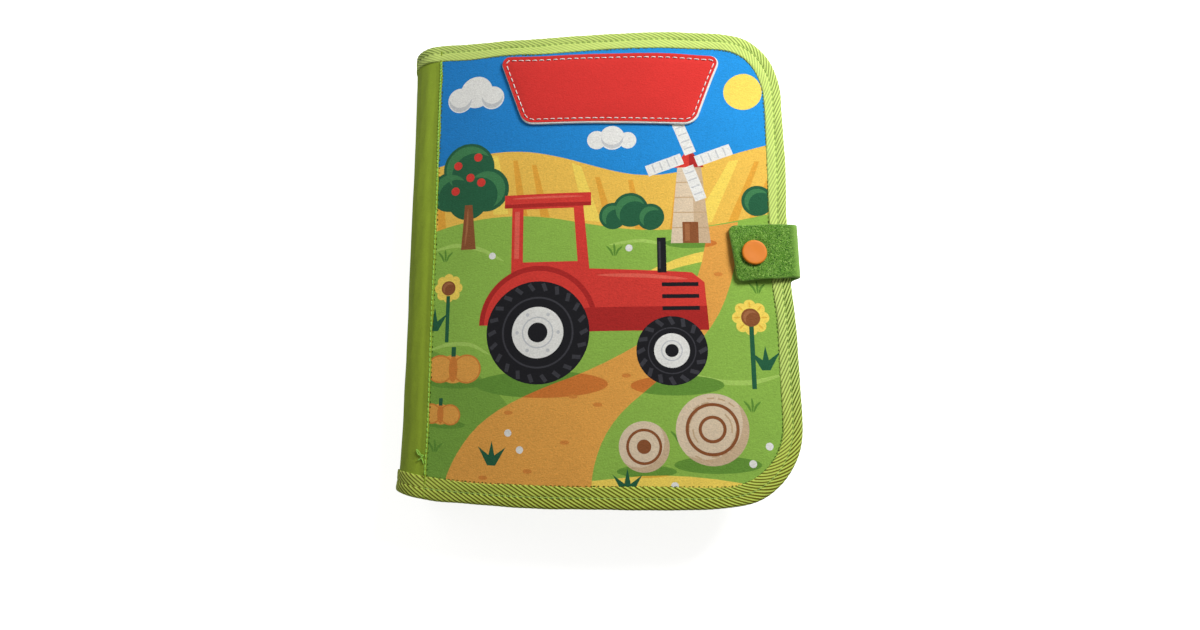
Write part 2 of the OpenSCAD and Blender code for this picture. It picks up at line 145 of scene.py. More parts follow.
def make(name, verts, faces, mat, body, nodes=(), uv=None, normals=None, tone=None, still=False):
    """A piece from points in millimetres. tone is one number per face."""
    verts = np.asarray(verts, float).reshape(-1, 3)
    placed = verts if still else warp(verts)
    mesh = bpy.data.meshes.new(name)
    faces = faces.tolist() if isinstance(faces, np.ndarray) else faces
    mesh.from_pydata(((placed - (MIDDLE_X, 0, 0)) / 1000).tolist(), [], faces)
    mesh.shade_smooth()
    rest = mesh.attributes.new("rest", "FLOAT_VECTOR", "POINT")
    rest.data.foreach_set("vector", verts.astype(np.float32).ravel())
    if uv is not None:
        corners = np.empty(len(mesh.loops), np.int32)
        mesh.loops.foreach_get("vertex_index", corners)
        layer = mesh.uv_layers.new(name="grain")
        layer.data.foreach_set("uv", np.asarray(uv, np.float32)[corners].ravel())
    if tone is not None:
        sizes = np.empty(len(mesh.polygons), np.int32)
        mesh.polygons.foreach_get("loop_total", sizes)
        shade = mesh.attributes.new("tone", "FLOAT", "CORNER")
        shade.data.foreach_set("value", np.repeat(tone, sizes).astype(np.float32))
    if normals is not None:
        mesh.normals_split_custom_set_from_vertices(np.asarray(normals).tolist())
    else:
        mesh.set_sharp_from_angle(angle=SHARP)
    mesh.materials.append(mat)
    obj = bpy.data.objects.new(name, mesh)
    bpy.context.scene.collection.objects.link(obj)
    if body:
        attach(obj, body)
    if nodes:
        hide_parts(*nodes)
    return obj


# flat shapes


def inset(loop, by):
    """A closed line moved to its left, which is inwards when it runs anticlockwise."""
    before, after = loop - np.roll(loop, 1, 0), np.roll(loop, -1, 0) - loop
    left = [
        np.stack([-e[:, 1], e[:, 0]], 1) / np.maximum(np.linalg.norm(e, axis=1, keepdims=True), 1e-9)
        for e in (before, after)
    ]
    turn = np.maximum(1 + (left[0] * left[1]).sum(1, keepdims=True), 0.4)
    return loop + by * (left[0] + left[1]) / turn


def rounded(points, radii):
    """A convex anticlockwise polygon with its corners rounded."""
    points = np.asarray(points, float)
    out = []
    for i, (p, r) in enumerate(zip(points, radii)):
        a = points[i - 1] - p
        b = points[(i + 1) % len(points)] - p
        a, b = a / np.linalg.norm(a), b / np.linalg.norm(b)
        half = math.acos(np.clip(a @ b, -1, 1)) / 2
        centre = p + (a + b) / np.linalg.norm(a + b) * r / math.sin(half)
        x, y = p + a * r / math.tan(half) - centre
        for t in (pi - 2 * half) * np.arange(11) / 10:
            out.append(centre + (x * cos(t) - y * sin(t), x * sin(t) + y * cos(t)))
    return np.array(out)


def circle(x, y, r, n=None, sx=1.0, sy=1.0):
    """An anticlockwise disc or ellipse."""
    n = n or max(20, int(r * 5))
    a = np.arange(n) * 2 * pi / n
    return np.stack([x + r * sx * cos(a), y + r * sy * sin(a)], 1)


def inside(points, loops):
    """Even-odd test of points against closed lines."""
    hit = np.zeros(len(points), bool)
    for loop in loops:
        lo, hi = loop.min(0), loop.max(0)
        near = np.where(((points >= lo) & (points <= hi)).all(1))[0]
        if not len(near):
            continue
        p, a, b = points[near], loop, np.roll(loop, -1, 0)
        cross = (a[None, :, 1] > p[:, 1, None]) != (b[None, :, 1] > p[:, 1, None])
        rise = np.where(b[:, 1] == a[:, 1], 1e-12, b[:, 1] - a[:, 1])
        at = a[None, :, 0] + (p[:, 1, None] - a[None, :, 1]) / rise * (b[:, 0] - a[:, 0])
        hit[near] ^= ((cross & (p[:, 0, None] < at)).sum(1) % 2).astype(bool)
    return hit


def distance(points, loops):
    """Distance of points to the nearest closed line."""
    best = np.full(len(points), 1e9)
    for loop in loops:
        a, d = loop, np.roll(loop, -1, 0) - loop
        size = np.maximum((d * d).sum(1), 1e-12)
        for k in range(0, len(points), 2000):
            p = points[k : k + 2000, None, :]
            t = np.clip(((p - a) * d).sum(2) / size, 0, 1)
            gap = np.linalg.norm(p - a - t[:, :, None] * d, axis=2).min(1)
            best[k : k + 2000] = np.minimum(best[k : k + 2000], gap)
    return best


def triangulate(lines, extra):
    """Triangles over closed lines and loose points. Returns points and anticlockwise triangles."""
    points, edges = [], []
    for loop in lines:
        k, n = len(points), len(loop)
        points += [Vector(map(float, p)) for p in loop]
        edges += [(k + i, k + (i + 1) % n) for i in range(n)]
    points += [Vector(map(float, p)) for p in extra]
    found = delaunay_2d_cdt(points, edges, [], 0, 1e-4)
    v, t = np.array([tuple(p) for p in found[0]]), np.array(found[2])
    e, f = v[t[:, 1]] - v[t[:, 0]], v[t[:, 2]] - v[t[:, 0]]
    area = e[:, 0] * f[:, 1] - e[:, 1] * f[:, 0]
    t[area < 0] = t[area < 0][:, ::-1]
    return v, t[np.abs(area) > 1e-7]


def grid_points(loop, step, keep_off=0.8):
    """Points of a slightly uneven grid inside a closed line."""
    lo, hi = loop.min(0), loop.max(0)
    x, y = np.meshgrid(np.arange(lo[0], hi[0], step), np.arange(lo[1], hi[1], step))
    p = np.stack([x.ravel(), y.ravel()], 1)
    p[:, 0] += (np.round(p[:, 1] / step) % 2) * step / 2
    p = p + rng.uniform(-0.12, 0.12, p.shape) * step
    p = p[inside(p, [loop])]
    return p[distance(p, [loop]) > keep_off]


def slab(loops, high, low, edge=0.5, step=6.0, rings=(), dent=None):
    """A closed sheet of felt between two heights, with rounded rims. Holes run clockwise."""
    lines = list(loops)
    for q in sorted({0.12 * edge, 0.45 * edge, edge, *rings}):
        lines += [inset(loop, q) for loop in loops]
    v, t = triangulate(lines, grid_points(loops[0], step, max(edge, *rings, 0.8) + 0.6))
    t = t[inside(v[t].mean(1), loops)]
    used, t = np.unique(t, return_inverse=True)
    v, t = v[used], t.reshape(-1, 3)
    d = distance(v, loops)
    drop = np.where(d < edge, edge - np.sqrt(np.maximum(edge**2 - (edge - d) ** 2, 0)), 0)
    up = high(v[:, 0], v[:, 1]) - drop - (dent(d) if dent else 0)
    down = low(v[:, 0], v[:, 1]) + drop
    n = len(v)
    sides = np.concatenate([t[:, [0, 1]], t[:, [1, 2]], t[:, [2, 0]]])
    key = np.sort(sides, 1) @ (n, 1)
    _, first, uses = np.unique(key, return_index=True, return_counts=True)
    rim = sides[first[uses == 1]]
    wall = np.stack([rim[:, 0] + n, rim[:, 1] + n, rim[:, 1], rim[:, 0]], 1)
    points = np.concatenate([np.c_[v, up], np.c_[v, down]])
    return points, t.tolist() + (t[:, ::-1] + n).tolist() + wall.tolist()


# a thread's thickness at its ends, of the whole
THREAD_END = 0.45


def sheet_faces(n, m, around=False, flip=False):
    """Quads of a grid of n by m points; around joins the last of the m to the first."""
    k = np.arange(n * m).reshape(n, m)
    if around:
        k = np.c_[k, k[:, 0]]
    q = np.stack([k[:-1, :-1], k[1:, :-1], k[1:, 1:], k[:-1, 1:]], -1).reshape(-1, 4)
    return q[:, ::-1] if flip else q


def tubes(paths, radius, sides=6):
    """Round threads along 3-D paths. Returns points, faces and how far along and round each is."""
    verts, faces, uv = [], [], []
    for path in paths:
        p = np.asarray(path, float)
        n = len(p)
        t = np.gradient(p, axis=0)
        t /= np.linalg.norm(t, axis=1, keepdims=True)
        ref = np.where(np.abs(t[:, 2:3]) > 0.9, (0.0, 1.0, 0.0), (0.0, 0.0, 1.0))
        a = np.cross(t, ref)
        a /= np.linalg.norm(a, axis=1, keepdims=True)
        b = np.cross(a, t)
        far = np.r_[0, np.cumsum(np.linalg.norm(np.diff(p, axis=0), axis=1))]
        size = np.full(n, float(radius))
        size[0] = size[-1] = radius * THREAD_END
        turn = np.arange(sides)[None, :, None] * 2 * pi / sides
        ring = p[:, None] + size[:, None, None] * (cos(turn) * a[:, None] + sin(turn) * b[:, None])
        k = len(verts)
        verts += ring.reshape(-1, 3).tolist()
        uv += [(far[i], j / sides) for i in range(n) for j in range(sides)]
        faces += (sheet_faces(n, sides, True) + k).tolist()
        faces.append([k + j for j in range(sides)])
        faces.append([k + (n - 1) * sides + j for j in range(sides)][::-1])
    return np.array(verts), faces, np.array(uv)


def running(spots, along, up, length, rise=0.22, sink=0.3):
    """Stitches: short threads that come out of the cloth and go back in."""
    shape = ((-0.5, -1), (-0.42, 0), (-0.2, 0.8), (0.2, 0.8), (0.42, 0), (0.5, -1))
    paths = []
    for p, t, n in zip(spots, along, up):
        # two numbers are drawn for each stitch, and the first sets its length
        size = length * (1 + rng.uniform(-0.1, 0.1, 2)[0])
        paths.append([p + t * a * size + n * (rise * b if b > 0 else sink * b) for a, b in shape])
    return paths


def sew(name, paths, radius, look, body, nodes=(), sides=6, still=False):
    """Threads along paths as a piece."""
    v, f, uv = tubes(paths, radius, sides)
    return make(name, v, f, look, body, nodes, uv=uv, still=still)


def marks(spots, along, up, long, wide):
    """Small flat dark marks of painted shade where a needle went through."""
    turn = np.arange(8) * pi / 4
    verts, faces = [], []
    for p, t, n in zip(spots, along, up):
        side = np.cross(n, t)
        a, b = rng.uniform(0.6, 1.25, 2)
        faces.append(list(range(len(verts), len(verts) + 8)))
        verts += [p + t * long * a * c + side * wide * b * d for c, d in zip(cos(turn), sin(turn))]
    return verts, faces


def spaced(loop, step, closed=True):
    """Points at even steps along a line, with their directions."""
    line = np.r_[loop, loop[:1]] if closed else np.asarray(loop)
    far = np.r_[0, np.cumsum(np.linalg.norm(np.diff(line, axis=0), axis=1))]
    n = max(int(round(far[-1] / step)), 1)
    s = (np.arange(n) + 0.5) * far[-1] / n
    p = np.stack([np.interp(s, far, line[:, i]) for i in range(2)], 1)
    q = np.stack([np.interp(np.minimum(s + 0.2, far[-1]), far, line[:, i]) for i in range(2)], 1)
    o = np.stack([np.interp(np.maximum(s - 0.2, 0), far, line[:, i]) for i in range(2)], 1)
    t = (q - o) / np.linalg.norm(q - o, axis=1, keepdims=True)
    return p, t


def on_top(points, directions, level):
    """Lays stitches' places on the front cover."""
    x, y = points.T
    z = top(x, y, level)
    n = top_normal(x, y)
    t = np.c_[directions, np.zeros(len(points))]
    t -= n * (t * n).sum(1, keepdims=True)
    return np.c_[points, z], t / np.linalg.norm(t, axis=1, keepdims=True), n


# materials


def srgb(r, g, b):
    """A colour as nodes want it, from one as screens show it."""
    c = np.array([r, g, b]) / 255
    return (*np.where(c > 0.04045, ((c + 0.055) / 1.055) ** 2.4, c / 12.92).tolist(), 1.0)


class Nodes:
    """The emptied node tree of a material or world."""

    def __init__(self, owner):
        owner.use_nodes = True
        self.tree = owner.node_tree
        self.tree.nodes.clear()

    def feed(self, socket, value):
        if isinstance(value, bpy.types.NodeSocket):
            self.tree.links.new(value, socket)
        else:
            socket.default_value = value

    def node(self, kind, *values, **props):
        """A node with its properties and its first inputs; None leaves an input alone."""
        made = self.tree.nodes.new(kind)
        for key, value in props.items():
            setattr(made, key, value)
        for i, value in enumerate(values):
            if value is not None:
                self.feed(made.inputs[i], value)
        return made

    def out(self, kind, *values, **props):
        """The first output of such a node."""
        return self.node(kind, *values, **props).outputs[0]

    def math(self, operation, a, b=0.0, c=0.0, clamp=False):
        return self.out("ShaderNodeMath", a, b, c, operation=operation, use_clamp=clamp)


class Look(Nodes):
    """A material with one Principled shader."""

    def __init__(self, name, specular=None, **sockets):
        self.mat = bpy.data.materials.new(name)
        super().__init__(self.mat)
        self.shader = self.node("ShaderNodeBsdfPrincipled")
        self.node("ShaderNodeOutputMaterial", self.shader.outputs[0])
        if specular is not None:
            sockets["Specular_IOR_Level"] = specular
        for key, value in sockets.items():
            self.feed(self.shader.inputs[key.replace("_", " ")], value)
        self.place = self.attribute("rest", 1)

    def attribute(self, name, output):
        return self.node("ShaderNodeAttribute", attribute_name=name).outputs[output]

    def grain(self):
        """The two numbers of the piece's own map."""
        uv = self.out("ShaderNodeUVMap", uv_map="grain")
        split = self.node("ShaderNodeSeparateXYZ", uv)
        return split.outputs[0], split.outputs[1]

    def noise(self, scale, detail=2.0, rough=0.5, distortion=0.0, vector=None, stretch=None):
        vector = vector or self.place
        if stretch:
            vector = self.out("ShaderNodeVectorMath", vector, stretch, operation="MULTIPLY")
        made = self.node("ShaderNodeTexNoise", vector)
        sizes = {"Scale": scale, "Detail": detail, "Roughness": rough, "Distortion": distortion}
        for key, value in sizes.items():
            made.inputs[key].default_value = value
        return made.outputs[0]

    def around_one(self, *parts):
        """1 plus each noise's swing, as in (noise, swing)."""
        total = 1.0
        for noise, swing in parts:
            total = self.math("MULTIPLY_ADD", self.math("SUBTRACT", noise, 0.5), 2 * swing, total)
        return total

    def times(self, colour, factor):
        made = self.node("ShaderNodeVectorMath", operation="SCALE")
        self.feed(made.inputs[0], colour if isinstance(colour, bpy.types.NodeSocket) else colour[:3])
        self.feed(made.inputs[3], factor)
        return made.outputs[0]

    def mix(self, factor, a, b):
        made = self.node("ShaderNodeMix", data_type="RGBA")
        for i, value in ((0, factor), (6, a), (7, b)):
            self.feed(made.inputs[i], value)
        return made.outputs[2]

    def colour(self, value):
        self.feed(self.shader.inputs["Base Color"], value)

    def bump(self, *heights):
        """Adds up (height, distance in metres)."""
        normal = None
        for height, far in heights:
            made = self.node("ShaderNodeBump")
            made.inputs["Strength"].default_value = 1.0
            made.inputs["Distance"].default_value = far
            self.feed(made.inputs["Height"], height)
            if normal:
                self.feed(made.inputs["Normal"], normal)
            normal = made.outputs[0]
        self.feed(self.shader.inputs["Normal"], normal)


def felt(name, rgb, dark=None, light=None, fleck=0.28, scale=1.15):
    """Needled felt or brushed cloth, plain or printed, with fine fibres."""
    look = Look(name, 0.06, Roughness=0.95, Sheen_Weight=0.06, Sheen_Roughness=0.6)
    fine = look.noise(scale, 4.0, 0.68, 0.6)
    fibre = look.noise(scale * 0.9, 2.0, 0.55, 2.2, stretch=(0.35, 1.0, 1.0))
    colour = rgb
    if dark:
        tone = look.attribute("tone", 2)
        colour = look.mix(look.math("MAXIMUM", tone, 0.0), colour, dark)
        colour = look.mix(look.math("MAXIMUM", look.math("MULTIPLY", tone, -1.0), 0.0), colour, light)
    swing = look.around_one((fine, fleck), (fibre, fleck * 0.7), (look.noise(0.045, 2.0), 0.06))
    look.colour(look.times(colour, swing))
    look.bump((fine, 0.0002), (fibre, 0.00016))
    return look.mat


def thread(name, rgb, dark=0.55):
    """Twisted sewing thread, with painted shade in the grooves of its twist."""
    look = Look(name, Roughness=0.55, Sheen_Weight=0.1)
    u, v = look.grain()
    twist = look.math("SINE", look.math("MULTIPLY_ADD", u, 7.0, look.math("MULTIPLY", v, 2 * pi)))
    ply = look.math("MULTIPLY_ADD", twist, 0.5, 0.5)
    # painted shade: the thread darkens towards dark times its colour in the twist's grooves
    shade = look.mix(ply, tuple(c * dark for c in rgb[:3]) + (1,), rgb)
    look.colour(look.times(shade, look.around_one((look.noise(3.0), 0.1))))
    look.bump((ply, 0.00008))
    return look.mat


def twill(name, ridge, valley_shade, tail_ridge, tail_valley_shade):
    """Herringbone tape, duller near the tail, with painted shade in the valleys between its ribs.

    The map's first number counts ribs, its second is how deep they show and how much painted shade their
    valleys get.
    """
    look = Look(name, 0.12, Roughness=0.7, Sheen_Weight=0.08)
    u, v = look.grain()
    wave = look.math("ABSOLUTE", look.math("SINE", look.math("MULTIPLY", u, pi)))
    rib = look.math("POWER", wave, 0.85)
    depth = look.math("MULTIPLY", look.math("SUBTRACT", 1.0, rib), v, clamp=True)
    yarn = look.noise(2.3, 3.0, 0.6, 0.4)
    cross = look.out("ShaderNodeCombineXYZ", look.math("MULTIPLY", u, 2.4), v, 0.0)
    strand = look.noise(3.1, 1.0, vector=cross)
    height = look.node("ShaderNodeSeparateXYZ", look.place).outputs[1]
    low = look.math("MULTIPLY_ADD", height, -0.022, -1.25, clamp=True)
    ridge, valley_shade = look.mix(low, ridge, tail_ridge), look.mix(low, valley_shade, tail_valley_shade)
    # painted shade: the colour turns to the valley shade colour in the ribs' valleys
    shade = look.mix(look.math("MULTIPLY", depth, 1.25, clamp=True), ridge, valley_shade)
    look.colour(look.times(shade, look.around_one((yarn, 0.16), (strand, 0.06), (look.noise(0.3), 0.06))))
    look.bump((depth, -0.00022), (yarn, 0.00009))
    return look.mat


def woven(name, rgb, mottle=0.07):
    """Smooth plain-woven cloth with soft mottling."""
    look = Look(name, 0.12, Roughness=0.75, Sheen_Weight=0.06)
    u, v = look.grain()
    warp_yarn = look.math("SINE", look.math("MULTIPLY", u, 11.0))
    weft_yarn = look.math("SINE", look.math("MULTIPLY", v, 11.0))
    cross = look.math("MULTIPLY_ADD", look.math("MULTIPLY", warp_yarn, weft_yarn), 0.5, 0.5)
    soft, blotch = look.noise(0.16, 3.0, 0.6), look.noise(0.7, 3.0, 0.6, 0.5)
    swing = look.around_one((soft, mottle), (blotch, mottle), (cross, 0.05), (look.noise(0.05), 0.12))
    look.colour(look.times(rgb, swing))
    look.bump((cross, 0.00003), (blotch, 0.00012))
    return look.mat


def fleece(name, rgb, bright, deep):
    """Fuzzy strap felt with light and dark specks."""
    look = Look(name, 0.12, Roughness=0.95, Sheen_Weight=0.2, Sheen_Roughness=0.5)
    v = look.grain()[1]
    curl = look.noise(1.0, 4.0, 0.7, 1.6)
    speck = look.noise(1.7, 2.0, 0.6, 0.8)
    smoother = look.math("SUBTRACT", 1.0, look.math("MULTIPLY", v, 0.75))
    high = look.math("MULTIPLY", look.math("MULTIPLY_ADD", curl, 9.0, -4.6, clamp=True), smoother)
    low = look.math("MULTIPLY", look.math("MULTIPLY_ADD", speck, -9.0, 4.3, clamp=True), smoother)
    colour = look.mix(low, look.mix(high, rgb, bright), deep)
    colour = look.mix(look.math("MULTIPLY", v, 0.55), colour, bright)
    look.colour(look.times(colour, look.around_one((look.noise(0.25), 0.07), (look.noise(3.5), 0.1))))
    look.bump((curl, 0.0005), (speck, 0.0003))
    return look.mat


def resin(name, rgb):
    """Satin moulded plastic."""
    look = Look(name, 0.25, Roughness=0.45)
    look.colour(look.times(rgb, look.around_one((look.noise(0.35, 2.0), 0.05), (look.noise(4.0), 0.02))))
    look.bump((look.noise(1.2, 3.0), 0.00003))
    return look.mat


# the tape's ridge colours and its painted valley shade colours, plain and near the tail
TAPE_LOOK = twill("twill", srgb(210, 232, 126), srgb(72, 104, 8), srgb(208, 228, 100), srgb(98, 92, 4))
SPINE_LOOK = woven("spine_weave", srgb(146, 170, 51), mottle=0.09)
BACK_LOOK = woven("back_weave", srgb(138, 162, 46))
PANEL_LOOK = felt("panel_felt", srgb(232, 230, 224))
LINING_LOOK = felt("lining_felt", srgb(146, 184, 78), scale=1.2)
LEAF_LOOK = felt("leaf_felt", srgb(238, 235, 226), scale=1.1, fleck=0.07)
WHITE_THREAD = thread("white_thread", srgb(250, 249, 245), 0.8)
GREEN_THREAD = thread("green_thread", srgb(170, 232, 84), 0.6)
STRAP_LOOK = fleece("strap_fleece", srgb(91, 145, 43), srgb(164, 210, 98), srgb(34, 76, 14))
SNAP_LOOK = resin("snap_resin", srgb(223, 126, 28))
# painted shade: the dark colour of needle holes and of the tape edge's shadow on the print
NEEDLE_SHADE_LOOK = felt("needle_shade_marks", srgb(62, 84, 22))

# the print: for each colour its plain, darker and lighter shade
INKS = {
    # the sky's darker and lighter shades also carry its painted shade and light
    "blue": (srgb(34, 134, 208), srgb(26, 100, 176), srgb(38, 158, 236)),
    "gold": (srgb(238, 192, 84), srgb(228, 158, 52), srgb(246, 212, 116)),
    "meadow": (srgb(144, 186, 78), srgb(94, 142, 54), srgb(172, 208, 102)),
    "yellow": (srgb(246, 216, 96), srgb(226, 176, 60), srgb(250, 232, 140)),
    "orange": (srgb(232, 166, 78), srgb(206, 112, 48), srgb(240, 188, 108)),
    "green": (srgb(40, 96, 66), srgb(26, 66, 46), srgb(70, 134, 84)),
    "cream": (srgb(222, 202, 174), srgb(196, 166, 130), srgb(236, 222, 200)),
    "brown": (srgb(140, 84, 50), srgb(100, 56, 34), srgb(170, 112, 72)),
    "red": (srgb(216, 62, 54), srgb(164, 36, 36), srgb(232, 104, 88)),
    "black": (srgb(30, 30, 34), srgb(20, 20, 22), srgb(64, 64, 70)),
    "white": (srgb(232, 232, 228), srgb(200, 202, 204), srgb(240, 240, 238)),
}

# the print's shapes


def poly(*points):
    return [np.array(points, float)]


def curve(*points):
    """A line with its corners cut off, kept at its ends."""
    p = np.array(points, float)
    for _ in range(2):
        cut = np.stack([0.75 * p[:-1] + 0.25 * p[1:], 0.25 * p[:-1] + 0.75 * p[1:]], 1).reshape(-1, 2)
        p = np.r_[p[:1], cut, p[-1:]]
    return p


def joined(*lines):
    """One closed line out of several open ones."""
    return [np.concatenate(lines)]


def dot(x, y, r, sx=1.0, sy=1.0):
    return [circle(x, y, r, None, sx, sy)]


def ring(x, y, r, hole):
    return dot(x, y, r) + dot(x, y, hole)


def box_at(x, y, w, h, turn=0.0):
    c, s = math.cos(turn), math.sin(turn)
    return [np.array([(x + a * w / 2 * c - b * h / 2 * s, y + a * w / 2 * s + b * h / 2 * c)
                      for a, b in ((-1, -1), (1, -1), (1, 1), (-1, 1))])]


def lune(x, y, r, dx, dy):
    """The part of a disc that a moved copy leaves free."""
    a = np.linspace(0, 2 * pi, 48, endpoint=False)
    edge = np.stack([x + r * cos(a), y + r * sin(a)], 1)
    away = np.hypot(edge[:, 0] - x - dx, edge[:, 1] - y - dy) >= r
    start = np.argmax(away & ~np.roll(away, 1))
    edge, away = np.roll(edge, -start, 0), np.roll(away, -start)
    outer = edge[away]
    middle = np.array((x, y)) + np.array((dx, dy))
    back = []
    first, last = (math.atan2(*(q - middle)[::-1]) for q in (outer[-1], outer[0]))
    span = (first - last + pi) % (2 * pi) - pi
    for t in first - span * np.arange(1, 16) / 16:
        back.append(middle + r * np.array((cos(t), sin(t))))
    return [np.r_[outer, back]]


def stroke(points, wide):
    """A drawn line with tapered ends."""
    p = np.array(points, float)
    s = np.linspace(0, 1, len(p))
    fine = np.linspace(0, 1, 14)
    x, y = (np.interp(fine, s, p[:, i]) for i in range(2))
    for _ in range(2):
        x[1:-1] = (x[:-2] + 2 * x[1:-1] + x[2:]) / 4
        y[1:-1] = (y[:-2] + 2 * y[1:-1] + y[2:]) / 4
    t = np.stack([np.gradient(x), np.gradient(y)], 1)
    t /= np.linalg.norm(t, axis=1, keepdims=True)
    half = wide / 2 * np.sqrt(np.clip(1 - (2 * fine - 1) ** 2, 0.02, 1))
    side = np.stack([-t[:, 1], t[:, 0]], 1) * half[:, None]
    middle = np.stack([x, y], 1)
    return [np.r_[middle + side, (middle - side)[::-1]]]


def print_shapes():
    """The print from its lowest field up.

    Each is (colour or None to keep what is there, tone, closed lines, colours it falls on).
    """
    art = []

    def put(colour, *shapes, tone=0.0, on=None):
        art.extend((colour, tone, shape, on) for shape in shapes)

    # fields, the path and the meadow
    put("gold", joined(curve((10, 172), (30, 177), (48, 180), (66, 180), (84, 176), (102, 170), (120, 165),
                             (136, 164), (152, 167), (170, 174), (195, 181)), [(195, 100), (10, 100)]))
    furrows = ((20, 140, 19, 168), (64, 146, 60, 175), (76, 144, 70, 172), (110, 138, 103, 164),
               (124, 136, 120, 162), (140, 136, 144, 160), (168, 140, 184, 171), (178, 141, 193, 168))
    for a, b, c, d in furrows:
        put(None, poly((a, b - 6), (a + 5, b - 6), (c + 2.4, d), (c, d)), tone=0.75, on=("gold",))
    put("meadow", joined(curve((10, 136), (30, 142), (52, 145), (76, 144), (100, 139), (124, 135), (148, 135),
                               (172, 139), (195, 144)), [(195, 0), (10, 0)]))
    put("yellow", dot(180, 209, 10), poly((50, 146), (58, 146), (52, 178), (47, 178)),
        poly((98, 141), (106, 140), (96, 170), (91, 172)),
        poly((152, 137), (162, 139), (176, 172), (171, 171)),
        joined(curve((110, 104), (150, 118), (185, 122), (195, 121)),
               curve((195, 126), (184, 127), (148, 123), (110, 104))),
        joined(curve((100, 12), (140, 16), (192, 8)), [(192, 2), (100, 2)]))
    put("orange", joined(
        curve((26, 0), (32, 20), (46, 40), (70, 54), (104, 66), (136, 84), (154, 108), (160, 136.5)),
        curve((175, 139), (172, 110), (158, 82), (134, 60), (112, 42), (102, 22), (100, 0))))
    # grass, with painted shade making it darker low on the left, where the light falls off, and printed
    # lighter along a few blades
    put(None, joined(curve((10, 78), (26, 74), (44, 64), (62, 46), (70, 30), (72, 0)), [(10, 0)]),
        tone=0.5, on=("meadow",))
    put(None, stroke([(18, 128), (30, 131), (44, 128), (56, 121)], 2.2),
        stroke([(18, 76), (27, 79), (40, 79), (50, 73)], 2.0),
        stroke([(150, 62), (164, 58), (178, 58), (192, 62)], 2.4),
        stroke([(110, 128), (126, 130), (140, 127)], 1.8), tone=-0.9, on=("meadow",))
    for x, y in ((22, 22), (64, 58), (150, 54), (182, 102), (112, 122), (24, 122), (142, 30), (176, 44)):
        put(None, stroke([(x, y), (x - 1.2, y + 3), (x - 3.4, y + 5.4)], 1.1),
            stroke([(x + 0.6, y), (x + 0.8, y + 3.6), (x + 0.4, y + 6.6)], 1.1),
            stroke([(x + 1.2, y), (x + 2.4, y + 3), (x + 4.6, y + 5)], 1.1), tone=0.95, on=("meadow",))
    # shadows on the ground
    for x, y, r, sy in ((76, 58, 33, 0.2), (142, 57, 22, 0.22), (160, 19.5, 20, 0.2),
                        (127, 16.5, 14, 0.2), (32, 59, 16, 0.2), (26, 37, 12, 0.2), (151, 128, 13, 0.2)):
        put(None, dot(x, y, r, 1, sy), tone=0.85, on=("meadow", "orange", "yellow"))
    for x, y in ((60, 44), (92, 52), (88, 30), (70, 16), (118, 62), (150, 88), (164, 112), (104, 48),
                 (48, 12)):
        put(None, dot(x, y, 1.5, 1.5, 0.7), tone=0.6, on=("orange",))
    # sunflowers and pumpkins
    eight = np.arange(8) * pi / 4
    put("yellow", *[dot(178 + 6 * cos(a), 90 + 6 * sin(a), 3) for a in eight],
        *[dot(27 + 5 * cos(a), 108 + 5 * sin(a), 2.6) for a in eight])
    put(None, *[stroke([(178 + 5 * cos(a), 90 + 5 * sin(a)), (178 + 8 * cos(a), 90 + 8 * sin(a))], 0.9)
                for a in eight], tone=0.8, on=("yellow",))
    put("orange", *[dot(x, 66, 7.5) for x in (24, 31, 38)], *[dot(x, 42, 5.5) for x in (20, 25, 30)])
    put(None, ring(24, 66, 7.5, 6.7), ring(38, 66, 7.5, 6.7), dot(31, 66, 4.6, 0.5, 1.5),
        ring(20, 42, 5.5, 4.8), ring(30, 42, 5.5, 4.8), dot(25, 42, 3.4, 0.5, 1.5), tone=0.7, on=("orange",))
    # trees and leaves
    put("green", dot(36, 172, 14), dot(26, 160, 11), dot(46, 160, 12), dot(36, 155, 11), dot(112, 143, 7),
        dot(121, 146, 9), dot(131, 142, 7), dot(185, 150, 8), box_at(31, 75, 2.4, 5), box_at(25, 48.5, 2, 4),
        box_at(178, 71, 2.2, 32), box_at(27, 92, 2, 24))
    for x, y in ((184, 66), (52, 20), (20, 88), (118, 8)):
        leaves = np.array([(-7, 7), (-2, -2), (2, -2), (7, 7), (1.5, 3), (0, 10), (-1.5, 3)])
        put("green", [leaves + (x, y)])
    put(None, lune(36, 172, 12.5, 3, -4), lune(26, 160, 9.5, 3, -3), lune(46, 160, 10, -4, -3),
        lune(121, 146, 7.5, 2, -3), lune(112, 143, 5.5, 2, -2), lune(131, 142, 5.5, 2, -2),
        lune(185, 150, 6.4, 2, -2), tone=-0.8, on=("green",))
    # windmill and bales
    put("cream", poly((141, 128), (145, 168), (157, 168), (161, 128)), dot(158, 36, 17), dot(126, 28, 12))
    put(None, poly((153, 128), (152.4, 168), (157, 168), (161, 128)), lune(158, 36, 17, -3, 3),
        lune(126, 28, 12, -2.4, 2.4), tone=0.7, on=("cream",))
    for y in (136, 144, 152, 160):
        put(None, box_at(151, y, 22, 0.6), tone=1.0, on=("cream",))
    for k in range(20):
        a, r = k * 2.4, 9 + k % 4 * 1.9
        put(None, box_at(158 + r * cos(a), 36 + r * sin(a), 3.4, 0.7, a + pi / 2), tone=0.9, on=("cream",))
    put("brown", poly((33, 128), (34.5, 152), (38.5, 152), (41, 128)), dot(178, 90, 4.6), dot(27, 108, 3.8),
        ring(158, 36, 12.5, 11), ring(158, 36, 6.5, 5), ring(126, 28, 8.5, 7.2), dot(126, 28, 3.4),
        poly((147, 128), (147, 139), (155, 139), (155, 128)))
    put(None, lune(178, 90, 3.6, 1.2, -1.2), lune(27, 108, 3, 1, -1),
        stroke([(35, 130), (36, 140), (36.2, 150)], 1.1), box_at(149.4, 133.5, 2.4, 9),
        tone=-0.8, on=("brown",))
